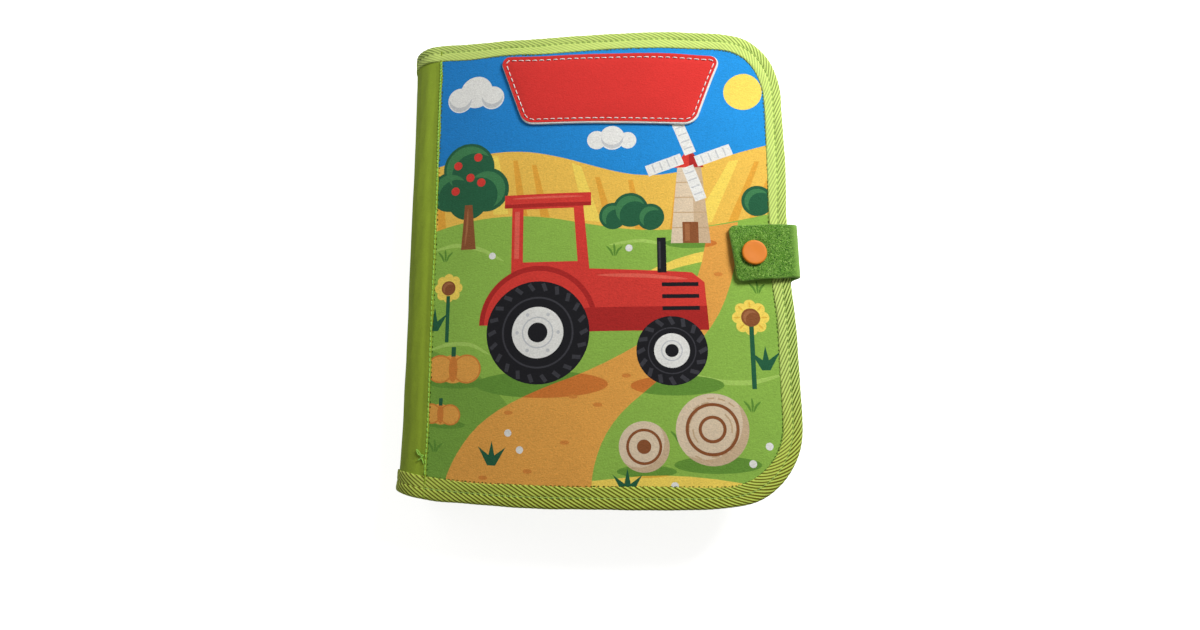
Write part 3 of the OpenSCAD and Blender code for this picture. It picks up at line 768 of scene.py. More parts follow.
    # tractor, the windmill's top and apples
    put("red", poly((143.5, 168), (151, 179), (158.5, 168)),
        *[dot(x, y, 2.3) for x, y in ((30, 174), (41, 178), (43, 164), (29, 160), (37, 167))],
        poly((56, 149), (56, 156), (101, 156), (101, 149), (97, 149), (100, 116), (151, 113), (157, 108),
             (158, 84), (60, 84), (60, 149)) + poly((66, 148), (92, 148), (94, 120), (66, 120)),
        [np.array([(74 + 30 * cos(a), 88 + 30 * sin(a)) for a in np.linspace(0, pi, 40)])])
    put(None, poly((100, 96), (158, 96), (158, 84), (60, 84), (60, 92)),
        poly((151, 168), (151, 179), (158.5, 168)), poly((56, 149), (56, 151), (101, 151), (101, 149)),
        ring(74, 88, 30, 27.4), tone=0.8, on=("red",))
    put(None, stroke([(104, 112.5), (128, 111.6), (149, 109.6)], 2.0),
        stroke([(60, 154), (78, 154.2), (97, 154)], 1.2),
        poly((61.5, 122), (61.5, 147), (64, 147), (64, 122)), tone=-0.85, on=("red",))
    put("black", dot(74, 84, 26), dot(140, 74, 17), poly((134, 113), (134, 131), (138.5, 131), (138.5, 113)),
        *[poly((136, y), (154, y), (154, y + 2), (136, y + 2)) for y in (94, 100, 106)])
    for x, y, r, n in ((74, 84, 23.2, 22), (140, 74, 14.8, 16)):
        turns = np.arange(n) * 2 * pi / n
        lugs = [box_at(x + r * cos(a), y + r * sin(a), 4.2, 2.0, a + 0.5) for a in turns]
        put(None, *lugs, ring(x, y, r * 0.78, r * 0.74), tone=-0.9, on=("black",))
    put(None, box_at(135.3, 122, 1.0, 14), tone=-0.9, on=("black",))
    # clouds, hubs, the windmill's sails and daisies
    clouds = (30, 211, 7), (39, 215, 9), (48, 211, 6.5), (104, 184, 5), (112, 185, 6.5), (120, 183.5, 4.5)
    put("white", *[dot(*c) for c in clouds], ring(74, 84, 13, 5), ring(140, 74, 8.5, 3.2))
    for turn in np.radians(np.arange(20, 380, 90)):
        c, s = math.cos(turn), math.sin(turn)

        def sail(left, right, low, high):
            corners = (left, low), (right, low), (right, high), (left, high)
            return [np.array([(151 + a * c - b * s, 172 + a * s + b * c) for a, b in corners])]

        put("white", sail(-1, 5, 3, 22))
        put(None, *[sail(-0.2, 4.4, k, k + 0.7) for k in (6, 10, 14, 18)], tone=1.0, on=("white",))
    daisies = (60, 34), (66, 26), (176, 20), (184, 28), (140, 10), (50, 124), (120, 126)
    put("white", *[dot(x, y, 1.8) for x, y in daisies])
    put(None, lune(30, 211, 6.4, 0, 2.4), lune(48, 211, 5.8, 0, 2.4), lune(112, 185, 5.8, 0, 2),
        ring(74, 84, 8, 7.3), ring(140, 74, 5.2, 4.6),
        *[dot(74 + 10.4 * cos(a), 84 + 10.4 * sin(a), 0.9) for a in np.arange(6) * pi / 3],
        tone=1.0, on=("white",))
    return [(*kind, [dense(loop - (0, HALF), 4.0) for loop in loops], on) for *kind, loops, on in art]


def cover_loop(by):
    """Anticlockwise outline of a cover, set in from its free edges."""
    r, cx, cy = CORNER - by, WIDTH - CORNER, HALF - CORNER
    low, high = np.linspace(-pi / 2, 0, 26), np.linspace(0, pi / 2, 26)
    arcs = [np.stack([cx + r * cos(a), y + r * sin(a)], 1) for a, y in ((low, -cy), (high, cy))]
    return np.r_[[(SEAM, by - HALF)], arcs[0], arcs[1], [(SEAM, HALF - by)]]


def dense(loop, step):
    """The same closed line with points at most a step apart."""
    out = []
    for a, b in zip(loop, np.roll(loop, -1, 0)):
        n = max(int(np.ceil(np.linalg.norm(b - a) / step)), 1)
        out += [a + (b - a) * k / n for k in range(n)]
    return np.array(out)


area = dense(cover_loop(TAPE - 0.5), 3.0)
rivet = circle(SNAP_X, 0, 1.9, 24)[::-1]
shapes = print_shapes()
lines = [area, rivet] + [loop for _, _, loops, _ in shapes for loop in loops]
points, tris = triangulate(lines, grid_points(area, 2.8))
middles = points[tris].mean(1)
keep = inside(middles, [area, rivet])
tris, middles = tris[keep], middles[keep]
names = list(INKS)
ink = np.zeros(len(tris), int)
# painted shade and light: the sky is darker on the left and lighter on the right, where the light is weaker
# and stronger
tone = (75 - middles[:, 0]) / 230
for colour, shade, loops, on in shapes:
    hit = inside(middles, loops)
    if on:
        hit &= np.isin(ink, [names.index(c) for c in on])
    if colour:
        ink[hit] = names.index(colour)
    tone[hit] = shade
for k, colour in enumerate(names):
    used, part = np.unique(tris[ink == k], return_inverse=True)
    x, y = points[used].T
    make(
            "print_" + colour + "_felt",
            np.c_[x, y, top(x, y, PRINT)],
            part.reshape(-1, 3),
            felt("ink_" + colour, *INKS[colour]),
            "front_cover",
            ["print_" + colour],
            normals=top_normal(x, y),
            tone=tone[ink == k],
        )

# the front cover's felt


def layer(level):
    return lambda x, y: top(x, y, level)


sheet = dense(cover_loop(CUT_IN), 5.0)
v, f = slab([sheet], layer(PANEL), layer(LINING_TOP), 0.4, 7.0)
front_panel = make("front_panel_felt", v, f, PANEL_LOOK, "front_cover", ["front_panel"])
v, f = slab([sheet], layer(LINING_TOP - 0.02), layer(LINING_LOW), 0.4, 7.0)
front_lining = make("front_lining_felt", v, f, LINING_LOOK, "front_cover", ["front_lining"])

# tape

EDGE_TOP = WIDTH - CORNER - SEAM
EDGE_ARC = pi / 2 * CORNER
EDGE_SIDE = 2 * (HALF - CORNER)
EDGE = 2 * EDGE_TOP + 2 * EDGE_ARC + EDGE_SIDE
# the ribs' slant and spacing, the fold's roundness, and the row between the tape's two bands of ribs
SHEAR, PITCH = 1.963, 3.0
FOLD = 1.25
ROW_MID = 4.75


def edge_at(s):
    """Point on a cover's free edge and the way inwards, from the head's seam end clockwise."""
    a = EDGE_TOP
    b, c, d = a + EDGE_ARC, a + EDGE_ARC + EDGE_SIDE, a + 2 * EDGE_ARC + EDGE_SIDE
    turn = np.clip((s - a) / CORNER, 0, pi / 2) + np.clip((s - c) / CORNER, 0, pi / 2)
    out = np.stack([sin(turn), cos(turn)], -1)
    cx = SEAM + np.clip(s, 0, a) - np.clip(s - d, 0, EDGE_TOP)
    cy = (HALF - CORNER) - np.clip(s - b, 0, EDGE_SIDE)
    return np.stack([cx, cy], -1) + CORNER * out, -out


def spine_at(t, deep):
    """Point and outward direction on the spine seen from its end, t from the front seam to the back one."""
    flat, arc, side = SEAM - ROLL, pi / 2 * ROLL, SPINE - 2 * ROLL
    a = np.clip((t - flat) / ROLL, 0, pi / 2)
    b = np.clip((t - flat - arc - side) / ROLL, 0, pi / 2)
    r = ROLL - deep
    x = ROLL - r * sin(a) * cos(b) + np.maximum(flat - t, 0) + np.maximum(t - flat - 2 * arc - side, 0)
    z = ROLL + side * (1 - np.clip((t - flat - arc) / side, 0, 1)) + r * cos(a) - r * sin(b)
    return x, z, -sin(a + b), cos(a + b)


SPINE_ROUND = 2 * (SEAM - ROLL) + pi * ROLL + SPINE - 2 * ROLL


def tape_rows():
    """Across the tape: u from the edge, depth, share of the thickness, and outwards in u and depth."""
    half = [(TAPE, 0.66, 0.9, -0.1), (TAPE, 0.3, 0.8, -0.5), (9.3, 0.06, 0.2, -1)]
    half += [(u, 0, 0, -1) for u in (8.9, 8.2, 7.4, 6.6, 5.8, 5.1, 4.83, 4.67, 4.4, 3.8, 3.1, 2.4, 1.8)]
    for a in np.linspace(0, pi / 2, 5):
        half.append((FOLD * (1 - sin(a)), FOLD * (1 - cos(a)), -sin(a), -cos(a)))
    upper = [(u, d, 0, nu, nd) for u, d, nu, nd in half]
    lower = [(u, -d, 1, nu, -nd) for u, d, nu, nd in half[::-1]]
    return np.array(upper + [(0, 0, 0.5, -1, 0)] + lower)


ROWS = tape_rows()


def tape(name, s0, s1, locate, thick, rib_depth_and_shade, body, nodes, flip=False):
    """Herringbone tape folded over an edge; its columns follow the ribs."""
    u, d0, share, nu, nd = ROWS.T
    far = np.r_[0, np.cumsum(np.hypot(np.diff(u), np.diff(d0 + share * COVER)))]
    shear = SHEAR * (TAPE - far)
    column = np.arange(s0 - shear.max(), s1 - shear.min() + 0.5, 0.5)
    s = np.clip(column[:, None] + shear, s0, s1)
    inner = u > ROW_MID
    count = (s - shear) / PITCH + np.where(inner, 0.5, 0.0)
    # the ribs' depth, which also sets the painted shade in their valleys
    deep = rib_depth_and_shade(s, np.broadcast_to(inner, s.shape))
    rib = 1 - np.abs(sin(pi * count)) ** 0.85
    groove = 0.16 * np.exp(-(((u - ROW_MID) / 0.3) ** 2))
    puff = 0.16 * np.clip(1 - ((u - 2.4) / 2.3) ** 2, 0, 1)
    puff = puff + 0.08 * np.clip(1 - ((u - 7.0) / 2.2) ** 2, 0, 1)
    uneven = 0.12 * sin(s / 7.3 + u) + 0.08 * sin(s / 2.9 + 1.7 * u + 1)
    fade = np.clip((TAPE - 0.3 - u) / 0.5, 0, 1)
    push = (puff - groove + uneven * 0.6) * fade - 0.15 * deep * rib
    # the woven edge is a little ragged
    teeth = np.where(u > 9.1, 0.14 * sin(2 * pi * s / 1.25) + 0.22 * sin(s / 9.0), 0)
    v = locate(s, u + nu * push + teeth, d0 + share * thick(s) + nd * push).reshape(-1, 3)
    n, m = s.shape
    quads = sheet_faces(n, m, flip=not flip)
    # columns past an end of the tape have no width there
    first, row = (quads // m).min(1), (quads % m).min(1)
    thin = [np.abs(s[first + 1, r] - s[first, r]) < 1e-9 for r in (row, row + 1)]
    used, quads = np.unique(quads[~(thin[0] & thin[1])], return_inverse=True)
    uv = np.stack([count.reshape(-1), deep.reshape(-1)], 1)[used]
    return make(name, v[used], quads.reshape(-1, 4), TAPE_LOOK, body, nodes, uv=uv)


def front_place(s, u, d):
    p, inward = edge_at(s)
    p = p + inward * u[..., None]
    return np.concatenate([p, top(p[..., 0], p[..., 1], -d)[..., None]], -1)


def back_place(s, u, d):
    p, inward = edge_at(s)
    p = p + inward * u[..., None]
    return np.concatenate([p, d[..., None]], -1)


def from_seam(s):
    """How far round the spine a place past either end of the front cover's edge is."""
    return np.maximum(-s, s - EDGE)


def spine_place(s, u, d):
    x, z, _, _ = spine_at(from_seam(s), d)
    return np.stack([x, np.where(s > 0, -1, 1) * (HALF - u), z], -1)


# how deep the ribs are and how much painted shade their valleys get: more down the fore-edge and at the tail,
# where the light grazes, less by the spine
def front_rib_depth_and_shade(s, inner):
    side = smooth((s - 275) / 40)
    tail = smooth((s - 370) / 60)
    spine = smooth((s - EDGE + 70) / 70)
    start = 0.3 * smooth(-s / 9)
    corner = 0.15 * smooth((s - 90) / 60)
    outer = 0.65 + start + corner + 0.45 * side + 0.45 * tail - 0.5 * spine
    return np.where(inner, 0.32 + start + corner + 0.35 * side + 0.55 * tail - 0.35 * spine, outer)


# the back cover's ribs: the same depth and painted valley shade all round
def back_rib_depth_and_shade(s, inner):
    return np.where(inner, 0.45, 0.7) + 0 * s


def whole(s):
    return np.full(s.shape, COVER)


def thinning(s):
    """The tape's fold is thinner round the spine than on the covers."""
    t = from_seam(s)
    return COVER - 1.2 * smooth(np.minimum(t, SPINE_ROUND - t) / 3)


front_tape = tape(
    "front_tape_twill", 0, EDGE, front_place, whole, front_rib_depth_and_shade, "front_cover", ["front_tape"]
)
back_tape = tape(
    "back_tape_twill", 0, EDGE, back_place, whole, back_rib_depth_and_shade, "back_cover", ["back_tape"], flip=True
)


def bend(obj):
    """Bakes a piece of the spine's placement into its mesh."""
    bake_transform(obj)


for word, begin, way in (("top", 0, -1), ("bottom", EDGE, 1)):
    for part, first, last in (("front", 0, SPINE_ROUND / 2), ("back", SPINE_ROUND / 2, SPINE_ROUND)):
        a, b = sorted((begin + way * first, begin + way * last))
        title, node = f"spine_tape_{word}_{part}", f"spine_tape_{word}"
        obj = tape(title, a, b, spine_place, thinning, front_rib_depth_and_shade, None, [node])
        bend(obj)

# the strip round the spine, which laps over the covers at its seams
LAP = 1.3


def strip_half(name, cover):
    """Half of the fabric strip, from a seam to the middle of the spine, as a closed sheet."""
    y = np.linspace(-121.2, 121.2, 122)
    t = np.r_[np.linspace(0, 3, 7), np.linspace(3.8, SPINE_ROUND / 2, 24)]
    rows = []
    for k in y:
        edge_wave = 0.14 * math.sin(k / 5.1) + 0.1 * math.sin(k / 2.3 + 1)
        x, z, nx, nz = spine_at(t, 0.6)
        soft = 0.22 * sin(t / 4.2 + k / 37) * cos(k / 23 + t / 9)
        soft = soft + 0.12 * sin(t * 1.1 + k / 11) * sin(k / 9.0)
        soft = soft * smooth((t - 1) / 4) * smooth((SPINE_ROUND / 2 - t) / 6) - 0.05
        raised = 0.62 * smooth((3.0 - t) / 3.0) * smooth((113.0 - abs(k)) / 1.5)
        out = np.stack([x + nx * (soft + raised), z + nz * (soft + raised)], 1)
        xi, zi, _, _ = spine_at(t[2:], 0.6 + STRIP)
        into = np.stack([xi, zi], 1)[::-1]
        xs = SEAM + LAP + edge_wave - np.array([0.9, 0.45, 0.12, 0.0, 0.0])
        rise = np.array([0.46, 0.44, 0.34, 0.16, 0.0])
        if cover == "front_cover":
            tip = np.stack([xs, top(xs, k + 0 * xs, PRINT) + rise], 1)[::-1]
        else:
            tip = np.stack([xs, SPINE - 0.46 + rise], 1)[::-1]
        under = [(SEAM + 0.1, float(tip[0, 1])), (17.4, float(tip[0, 1]) - 0.5)]
        rows.append(np.r_[[under[0]], tip, out, into, [under[1]]])
    rows = np.array(rows)
    n, m, _ = rows.shape
    v = np.concatenate([rows[..., :1], np.broadcast_to(y[:, None, None], (n, m, 1)), rows[..., 1:]], -1)
    if cover == "back_cover":
        v[..., 2] = SPINE - v[..., 2]
    faces = sheet_faces(n, m, True, flip=cover == "back_cover").tolist()
    ends = [list(range(m)), list(range((n - 1) * m, n * m))[::-1]]
    faces += ends if cover == "back_cover" else [e[::-1] for e in ends]
    across = np.r_[0, np.cumsum(np.linalg.norm(np.diff(rows[n // 2], axis=0), axis=1))]
    uv = np.stack(np.broadcast_arrays(across, y[:, None]), -1).reshape(-1, 2)
    obj = make(name, v.reshape(-1, 3), faces, SPINE_LOOK, None, ["spine_strip"], uv=uv)
    bend(obj)
    return obj


strip_front = strip_half("spine_strip_front", "front_cover")
strip_back = strip_half("spine_strip_back", "back_cover")

# sewing

NORTH, UP = np.array([0, 1.0, 0]), np.array([0, 0, 1.0])
# how far from the seam its row of stitches and its painted needle-hole shade marks are
ROW_OFF, HOLES_OFF = 0.62, 1.62

y = 111.0
seam_paths, holes = [], []
while y > -111.5:
    lumpy = smooth((y - 30) / 50)
    length = 2.0 - 0.5 * lumpy
    x = SEAM + ROW_OFF + rng.normal(0, 0.05) + 0.18 * math.sin(y / 17)
    z = float(top(np.array(x), np.array(y), PRINT)) + 0.28 + 0.16 * lumpy
    lean = rng.uniform(-0.2, 0.2) + 0.35 * lumpy
    way = np.array([lean * 0.5, 1, 0.0])
    seam_paths += running([np.array([x, y, z])], [way], [UP], length + 0.35, 0.26 + 0.2 * lumpy, 0.35)
    holes.append((SEAM + HOLES_OFF + rng.normal(0, 0.08), y - 1.3 + rng.normal(0, 0.15)))
    y -= 2.7 - 0.75 * lumpy + rng.uniform(-0.08, 0.08)
holes = np.array(holes)
# painted shade: flat dark marks stand for the shade in the seam's needle holes
spots, along, up = on_top(holes, np.tile((0.0, 1.0), (len(holes), 1)), PRINT + 0.04)
v, f = marks(spots, along, up, 0.62, 0.3)
make("seam_needle_shade_marks", v, f, NEEDLE_SHADE_LOOK, "front_cover")
sew("seam_stitches_front", seam_paths, 0.31, GREEN_THREAD, "front_cover", ["seam_stitches"])

# the loose end of the seam's thread
tail = [(17.5, -106.6), (16.4, -103.6), (15.0, -100.9), (13.3, -99.6), (14.0, -101.7), (15.4, -102.7),
        (17.5, -101.9), (16.1, -104.0), (14.4, -105.2)]
tail = [(x, y, float(spine_at(np.array(SEAM - x), 0.6)[1]) + 0.8 + 0.05 * k) for k, (x, y) in enumerate(tail)]
fine = np.linspace(0, len(tail) - 1, 41)
tail = np.stack([np.interp(fine, range(len(tail)), line) for line in np.array(tail).T], 1)
for _ in range(3):
    tail[1:-1] = (tail[:-2] + 2 * tail[1:-1] + tail[2:]) / 4
bend(sew("seam_thread_tail", [tail], 0.3, GREEN_THREAD, None))

back_paths = []
for y in np.arange(-111, 111.1, 3.0):
    back_paths += running([np.array([SEAM + ROW_OFF, y, 0.1])], [NORTH], [-UP], 2.2)
sew("seam_stitches_back", back_paths, 0.3, GREEN_THREAD, "back_cover")

# sewing along the middle of the tape, on both faces of both covers
for cover, place, name in (("front_cover", front_place, "front"), ("back_cover", back_place, "back")):
    paths = []
    for d, up in ((0.12, -1), (COVER - 0.12, 1)):
        s = np.arange(1.5, EDGE - 1, 3.0)
        u = np.full(len(s), ROW_MID)
        p, q = place(s, u, np.full(len(s), d)), place(s + 0.2, u, np.full(len(s), d))
        o = place(s, u, np.full(len(s), d + up))
        t, n = (q - p) / np.linalg.norm(q - p, axis=1, keepdims=True), o - p
        paths += running(p, t, n / np.linalg.norm(n, axis=1, keepdims=True), 2.1, rise=0.1, sink=0.3)
    look = thread("tape_thread_" + name, srgb(176, 212, 96), 0.6)
    sew(f"tape_stitches_{name}", paths, 0.22, look, cover, sides=5)

# painted shade: flat dark marks on the print along the tape's inner edge, for its needle holes and the edge's
# shadow
s = np.arange(2.0, EDGE - 2, 2.1)
s = s + rng.uniform(-0.5, 0.5, len(s))
u, under = np.full(len(s), TAPE + 0.15), np.full(len(s), -PRINT - 0.03)
p, q = front_place(s, u, under), front_place(s + 0.2, u, under)
t = (q - p) / np.linalg.norm(q - p, axis=1, keepdims=True)
v, f = marks(p, t, top_normal(p[:, 0], p[:, 1]), 0.7, 0.26)
make("tape_needle_shade_marks", v, f, NEEDLE_SHADE_LOOK, "front_cover")

# the title patch, left bare
corners = [(65.4, 194.3 - HALF), (154.8, 191.2 - HALF), (169.4, 229.8 - HALF), (51.4, 233.2 - HALF)]
patch_loop = dense(rounded(corners, (8, 8, 4.5, 4.5)), 3.0)
# its red face's height over the patch's foot, and how far in its row of stitches is
RED_FACE, PATCH_ROW = PATCH + 1.65, 2.5


def stitched(d):
    """The row of stitches draws the patch down."""
    return 0.3 * np.exp(-(((d - PATCH_ROW) / 0.75) ** 2)) - 0.25 * smooth((d - 3) / 9)


v, f = slab([patch_loop], layer(PATCH + 1.45), layer(PATCH), 0.35, 4.0, (1.4, PATCH_ROW, 3.6), stitched)
patch = make("title_patch_felt", v, f, PANEL_LOOK, "front_cover", ["title_patch"])
red = [inset(patch_loop, 0.5) + (-0.3, 0.35)]
lines = red + [inset(patch_loop, q) for q in (1.4, 2.0, PATCH_ROW, 3.0, 3.6)]
pts, t = triangulate(lines, grid_points(inset(patch_loop, 4.2), 3.2))
t = t[inside(pts[t].mean(1), red)]
d = distance(pts, [patch_loop])
z = top(pts[:, 0], pts[:, 1], RED_FACE) - stitched(d) - 0.25 * np.clip(1 - d / 0.7, 0, 1) ** 2
ink = felt("ink_patch", srgb(216, 54, 50), fleck=0.14)
make("title_patch_print_face", np.c_[pts, z], t, ink, "front_cover", ["title_patch_print"])
p, w = spaced(inset(patch_loop, PATCH_ROW), 3.7)
p, w, n = on_top(p, w, RED_FACE)
paths = running(p - n * 0.1, w, n, 2.6, rise=0.28, sink=0.4)
sew("title_patch_thread", paths, 0.27, WHITE_THREAD, "front_cover", ["title_patch_stitches"])

# the strap

MID_R = ARCH_R + (STRAP_LOW + STRAP_HIGH) / 2
# the folds' radii at the strap's outer face and at its middle
FOLD_OUT, FOLD_MID = 2.8, 1.9
BEND_X = 204.3 - FOLD_OUT
BEND_Z = ARCH_Z + math.sqrt((ARCH_R + STRAP_HIGH - FOLD_OUT) ** 2 - (BEND_X - ARCH_X) ** 2)
BEND_TURN = math.asin((BEND_X - ARCH_X) / (ARCH_R + STRAP_HIGH - FOLD_OUT))
STRAP_TURN = math.asin((169.6 - ARCH_X) / MID_R)
# half the strap's width, how far it leans in at its foot, and the foot's height
STRAP_HALF, TUCK, FOOT = 14.25, 2.4, 6.8
ARCH_POINTS = 60


def strap_line():
    """Middle line of the strap seen from the tail, with its outward directions."""
    line = []
    for a in np.linspace(STRAP_TURN, BEND_TURN, ARCH_POINTS):
        line.append((ARCH_X + MID_R * sin(a), ARCH_Z + MID_R * cos(a), a))
    for a in np.linspace(BEND_TURN, pi / 2, 14)[1:]:
        line.append((BEND_X + FOLD_MID * sin(a), BEND_Z + FOLD_MID * cos(a), a))
    for z in np.linspace(BEND_Z, FOOT, 30)[1:]:
        line.append((203.4 - TUCK * smooth((BEND_Z - z) / 6.5), z, pi / 2))
    for a in np.linspace(pi / 2, pi, 14)[1:]:
        line.append((BEND_X - TUCK + FOLD_MID * sin(a), FOOT + FOLD_MID * cos(a), a))
    for x in np.linspace(BEND_X - TUCK, 190.5, 12)[1:]:
        line.append((x, 4.9, pi))
    return np.array(line)


STRAP = strap_line()
STRAP_FAR = np.r_[0, np.cumsum(np.hypot(*np.diff(STRAP[:, :2], axis=0).T))]
STRAP_LONG = float(STRAP_FAR[-1])
ARCH_LONG = float(STRAP_FAR[ARCH_POINTS - 1])


def strap_mesh():
    """The strap from its tip; its map tells how far along and how folded or cut it is."""
    stretches = (
        (1.3, ARCH_LONG - 1, 34), (ARCH_LONG - 0.5, ARCH_LONG + 4.5, 14),
        (ARCH_LONG + 5.5, STRAP_LONG - 8, 26), (STRAP_LONG - 7.5, STRAP_LONG, 16),
    )
    t = np.concatenate([[0, 0.15, 0.4, 0.8]] + [np.linspace(*span) for span in stretches])
    side, rim = np.linspace(-1, 1, 31), np.linspace(0, pi, 7)[1:-1]
    face, edge = np.ones(len(side)), np.ones(len(rim))
    across = np.r_[side, edge, side[::-1], -edge]
    level = np.r_[face, cos(rim), -face, -cos(rim)]
    bulge = np.r_[0 * face, sin(rim), 0 * face, -sin(rim)]
    rows, grain = [], []
    for far in t:
        round_off = 3.5 - math.sqrt(max(3.5**2 - max(3.5 - far, 0) ** 2, 0)) if far < 3.5 else 0.0
        fold_on = smooth(far / ARCH_LONG)
        half = STRAP_HALF - 0.45 - round_off + 0.12 * math.sin(far / 3.1) - 0.6 * fold_on
        thick = 0.9 * math.sqrt(max(1 - max(1 - far / 0.8, 0) ** 2, 0.02))
        y = across * half + bulge * min(0.45, thick)
        skew = (1 - np.clip(far / 14, 0, 1)) * (1.7 - 1.6 * y / STRAP_HALF)
        at = np.clip(far + skew, 0, STRAP_LONG)
        x, z, a = (np.interp(at, STRAP_FAR, STRAP[:, i]) for i in range(3))
        near = np.hypot(x - SNAP_X, y)
        press = np.where((level > 0) & (at < ARCH_LONG), 0.65 * np.exp(-(((near - 6.6) / 1.3) ** 2)), 0)
        press = press + 0.95 * smooth((near - 8) / 6) * smooth((187 - x) / 7)
        wave = 0.16 * sin(at / 4.1 + 0.6) * cos(y / 5.2) * smooth((ARCH_LONG - at) / 4) * smooth(near / 9)
        rub = rng.normal(0, 0.035, len(y))
        off = level * thick - press + wave + rub
        rows.append(np.stack([x + sin(a) * off, y + 0.2 + 0.9 * fold_on, z + cos(a) * off], 1))
        fold = np.exp(-(((at - ARCH_LONG - 1.2) / 1.7) ** 2))
        cut_edge = np.maximum(0.8 * np.abs(bulge), 0.8 * (far < 0.3))
        grain.append(np.stack([at, np.maximum(fold, cut_edge)], 1))
    rows, grain = np.array(rows), np.array(grain)
    n, m, _ = rows.shape
    faces = sheet_faces(n, m, True).tolist() + [list(range(m))[::-1], list(range((n - 1) * m, n * m))]
    return rows.reshape(-1, 3), [f[::-1] for f in faces], grain.reshape(-1, 2)


v, f, uv = strap_mesh()
strap = make("closure_strap_felt", v, f, STRAP_LOOK, "back_cover", ["closure_strap"], uv=uv)
paths = []
ys = np.arange(-12, 12.1, 2.9)
for x in (192.5, 197.5):
    paths += running([np.array([x, y, 5.85]) for y in ys], [NORTH] * len(ys), [UP] * len(ys), 2.2)
sew("strap_thread", paths, 0.26, GREEN_THREAD, "back_cover", ["strap_stitches"])

# the snap


def turned(name, profile, base, body, node):
    """A turned piece of the snap, square to the arch; profile holds (radius, height over base)."""
    n = 64
    a = np.arange(n) * 2 * pi / n
    r, h = np.array(profile, float).T
    px = r[:, None] * cos(a)
    py = r[:, None] * sin(a)
    up = ARCH_R + base + h[:, None] + 0 * px
    c, s = math.cos(SNAP_TILT), math.sin(SNAP_TILT)
    v = np.stack([ARCH_X + up * s + px * c, py, ARCH_Z + up * c - px * s], -1)
    faces = sheet_faces(len(profile), n, True, flip=True).tolist()
    faces += [list(range(n))[::-1], list(range((len(profile) - 1) * n, len(profile) * n))]
    make(name, v, faces, SNAP_LOOK, body, [node])


def fillet(r, h, size, n=6, low=False):
    """A rounded corner of a profile at (r, h)."""
    out = []
    for a in np.linspace(0, pi / 2, n):
        x, y = r - size + size * cos(a), size * sin(a)
        out.append((x, h - size + y) if not low else (x, h + size - y))
    return out if not low else out[::-1]


dish = [(r, 1.3 - 0.14 * math.cos(r / 5.2 * pi / 2) ** 2) for r in (5.2, 4.4, 3.4, 2.2, 1.0, 0.3, 0.02)]
cap = [(0.02, 0.0), (0.3, 0.0), (5.6, 0.0)]
cap += fillet(6.2, 0.0, 0.3, 4, True) + fillet(6.2, 1.3, 0.75, 7) + dish
turned("snap_cap_top", cap, STRAP_HIGH + 0.1, "back_cover", "snap_cap")
socket = [(0.02, 1.2), (2.4, 1.2), (2.4, 0.15), (2.5, 0.0), (3.0, 0.0), (3.2, 0.35), (4.0, 0.35), (4.2, 0.0)]
socket += fillet(5.4, 0.0, 0.3, 4, True) + fillet(5.4, 1.28, 0.4) + [(0.02, 1.28)]
turned("snap_socket_ring", socket, STRAP_LOW - 1.3, "back_cover", "snap_socket")
stud = [(0.02, -0.4), (5.2, -0.4), (5.4, -0.1), (5.4, 0.25), (5.1, 0.45), (3.2, 0.5), (2.3, 0.6), (2.0, 0.9),
        (2.25, 1.2), (2.1, 1.45), (1.6, 1.5), (0.02, 1.5)]
turned("snap_stud_post", stud, PRINT, "front_cover", "snap_stud")
button = [(0.02, 0.0)]
for a in np.linspace(0.1, 1.57, 9):
    button.append((6.2 * math.sin(a), 0.8 - 0.8 * math.cos(a) ** 0.5 if a < 1.5 else 0.8))
button += [(6.2, 1.1), (0.02, 1.1)]
turned("snap_stud_button", button, LINING_LOW - 0.5, "front_cover", "snap_stud_cap")

# the leaves

LEAVES = 6


def leaf_z(share, x):
    """Height of a surface between two leaves."""
    z0, seam_z = COVER + 0.3, SPINE - COVER - 0.8
    h0, h1 = z0 + share * (seam_z - z0), z0 + share * (seam_z - DROP - z0)
    s = max(RISE * share, 0.02)
    c = math.hypot(SPAN, h0 - h1)
    r = c * c / (8 * s) + s / 2
    cx, cz = SPAN_MID + (h0 - h1) / c * (s - r), (h0 + h1) / 2 + SPAN / c * (s - r)
    return cz + np.sqrt(r * r - (np.maximum(x, 17.5) - cx) ** 2)


def leaf_loop(i):
    """Anticlockwise outline of a leaf; its spine side follows the roll."""
    z = leaf_z((i + 0.5) / LEAVES, np.array(10.0))
    r = ROLL - 3.2
    off = max(abs(float(z) - SPINE / 2) - (SPINE / 2 - ROLL), 0)
    x0 = ROLL - math.sqrt(max(r * r - min(off, r) ** 2, 0)) + 0.4
    x1, y1, rc = 189.5 - (i % 3) * 0.4, 115 - (i % 2) * 0.5, 31.0
    arcs = []
    for a0, cy in ((-pi / 2, -y1 + rc), (0, y1 - rc)):
        a = np.linspace(a0, a0 + pi / 2, 16)
        arcs.append(np.stack([x1 - rc + rc * cos(a), cy + rc * sin(a)], 1))
    return np.r_[[(x0, -y1)], arcs[0], arcs[1], [(x0, y1)]]


def parting(x):
    """Half the gap between two leaves, which are joined at the spine."""
    return 0.22 * smooth((x - 15) / 10)


all_v, all_f, edge_paths = [], [], []
count = 0
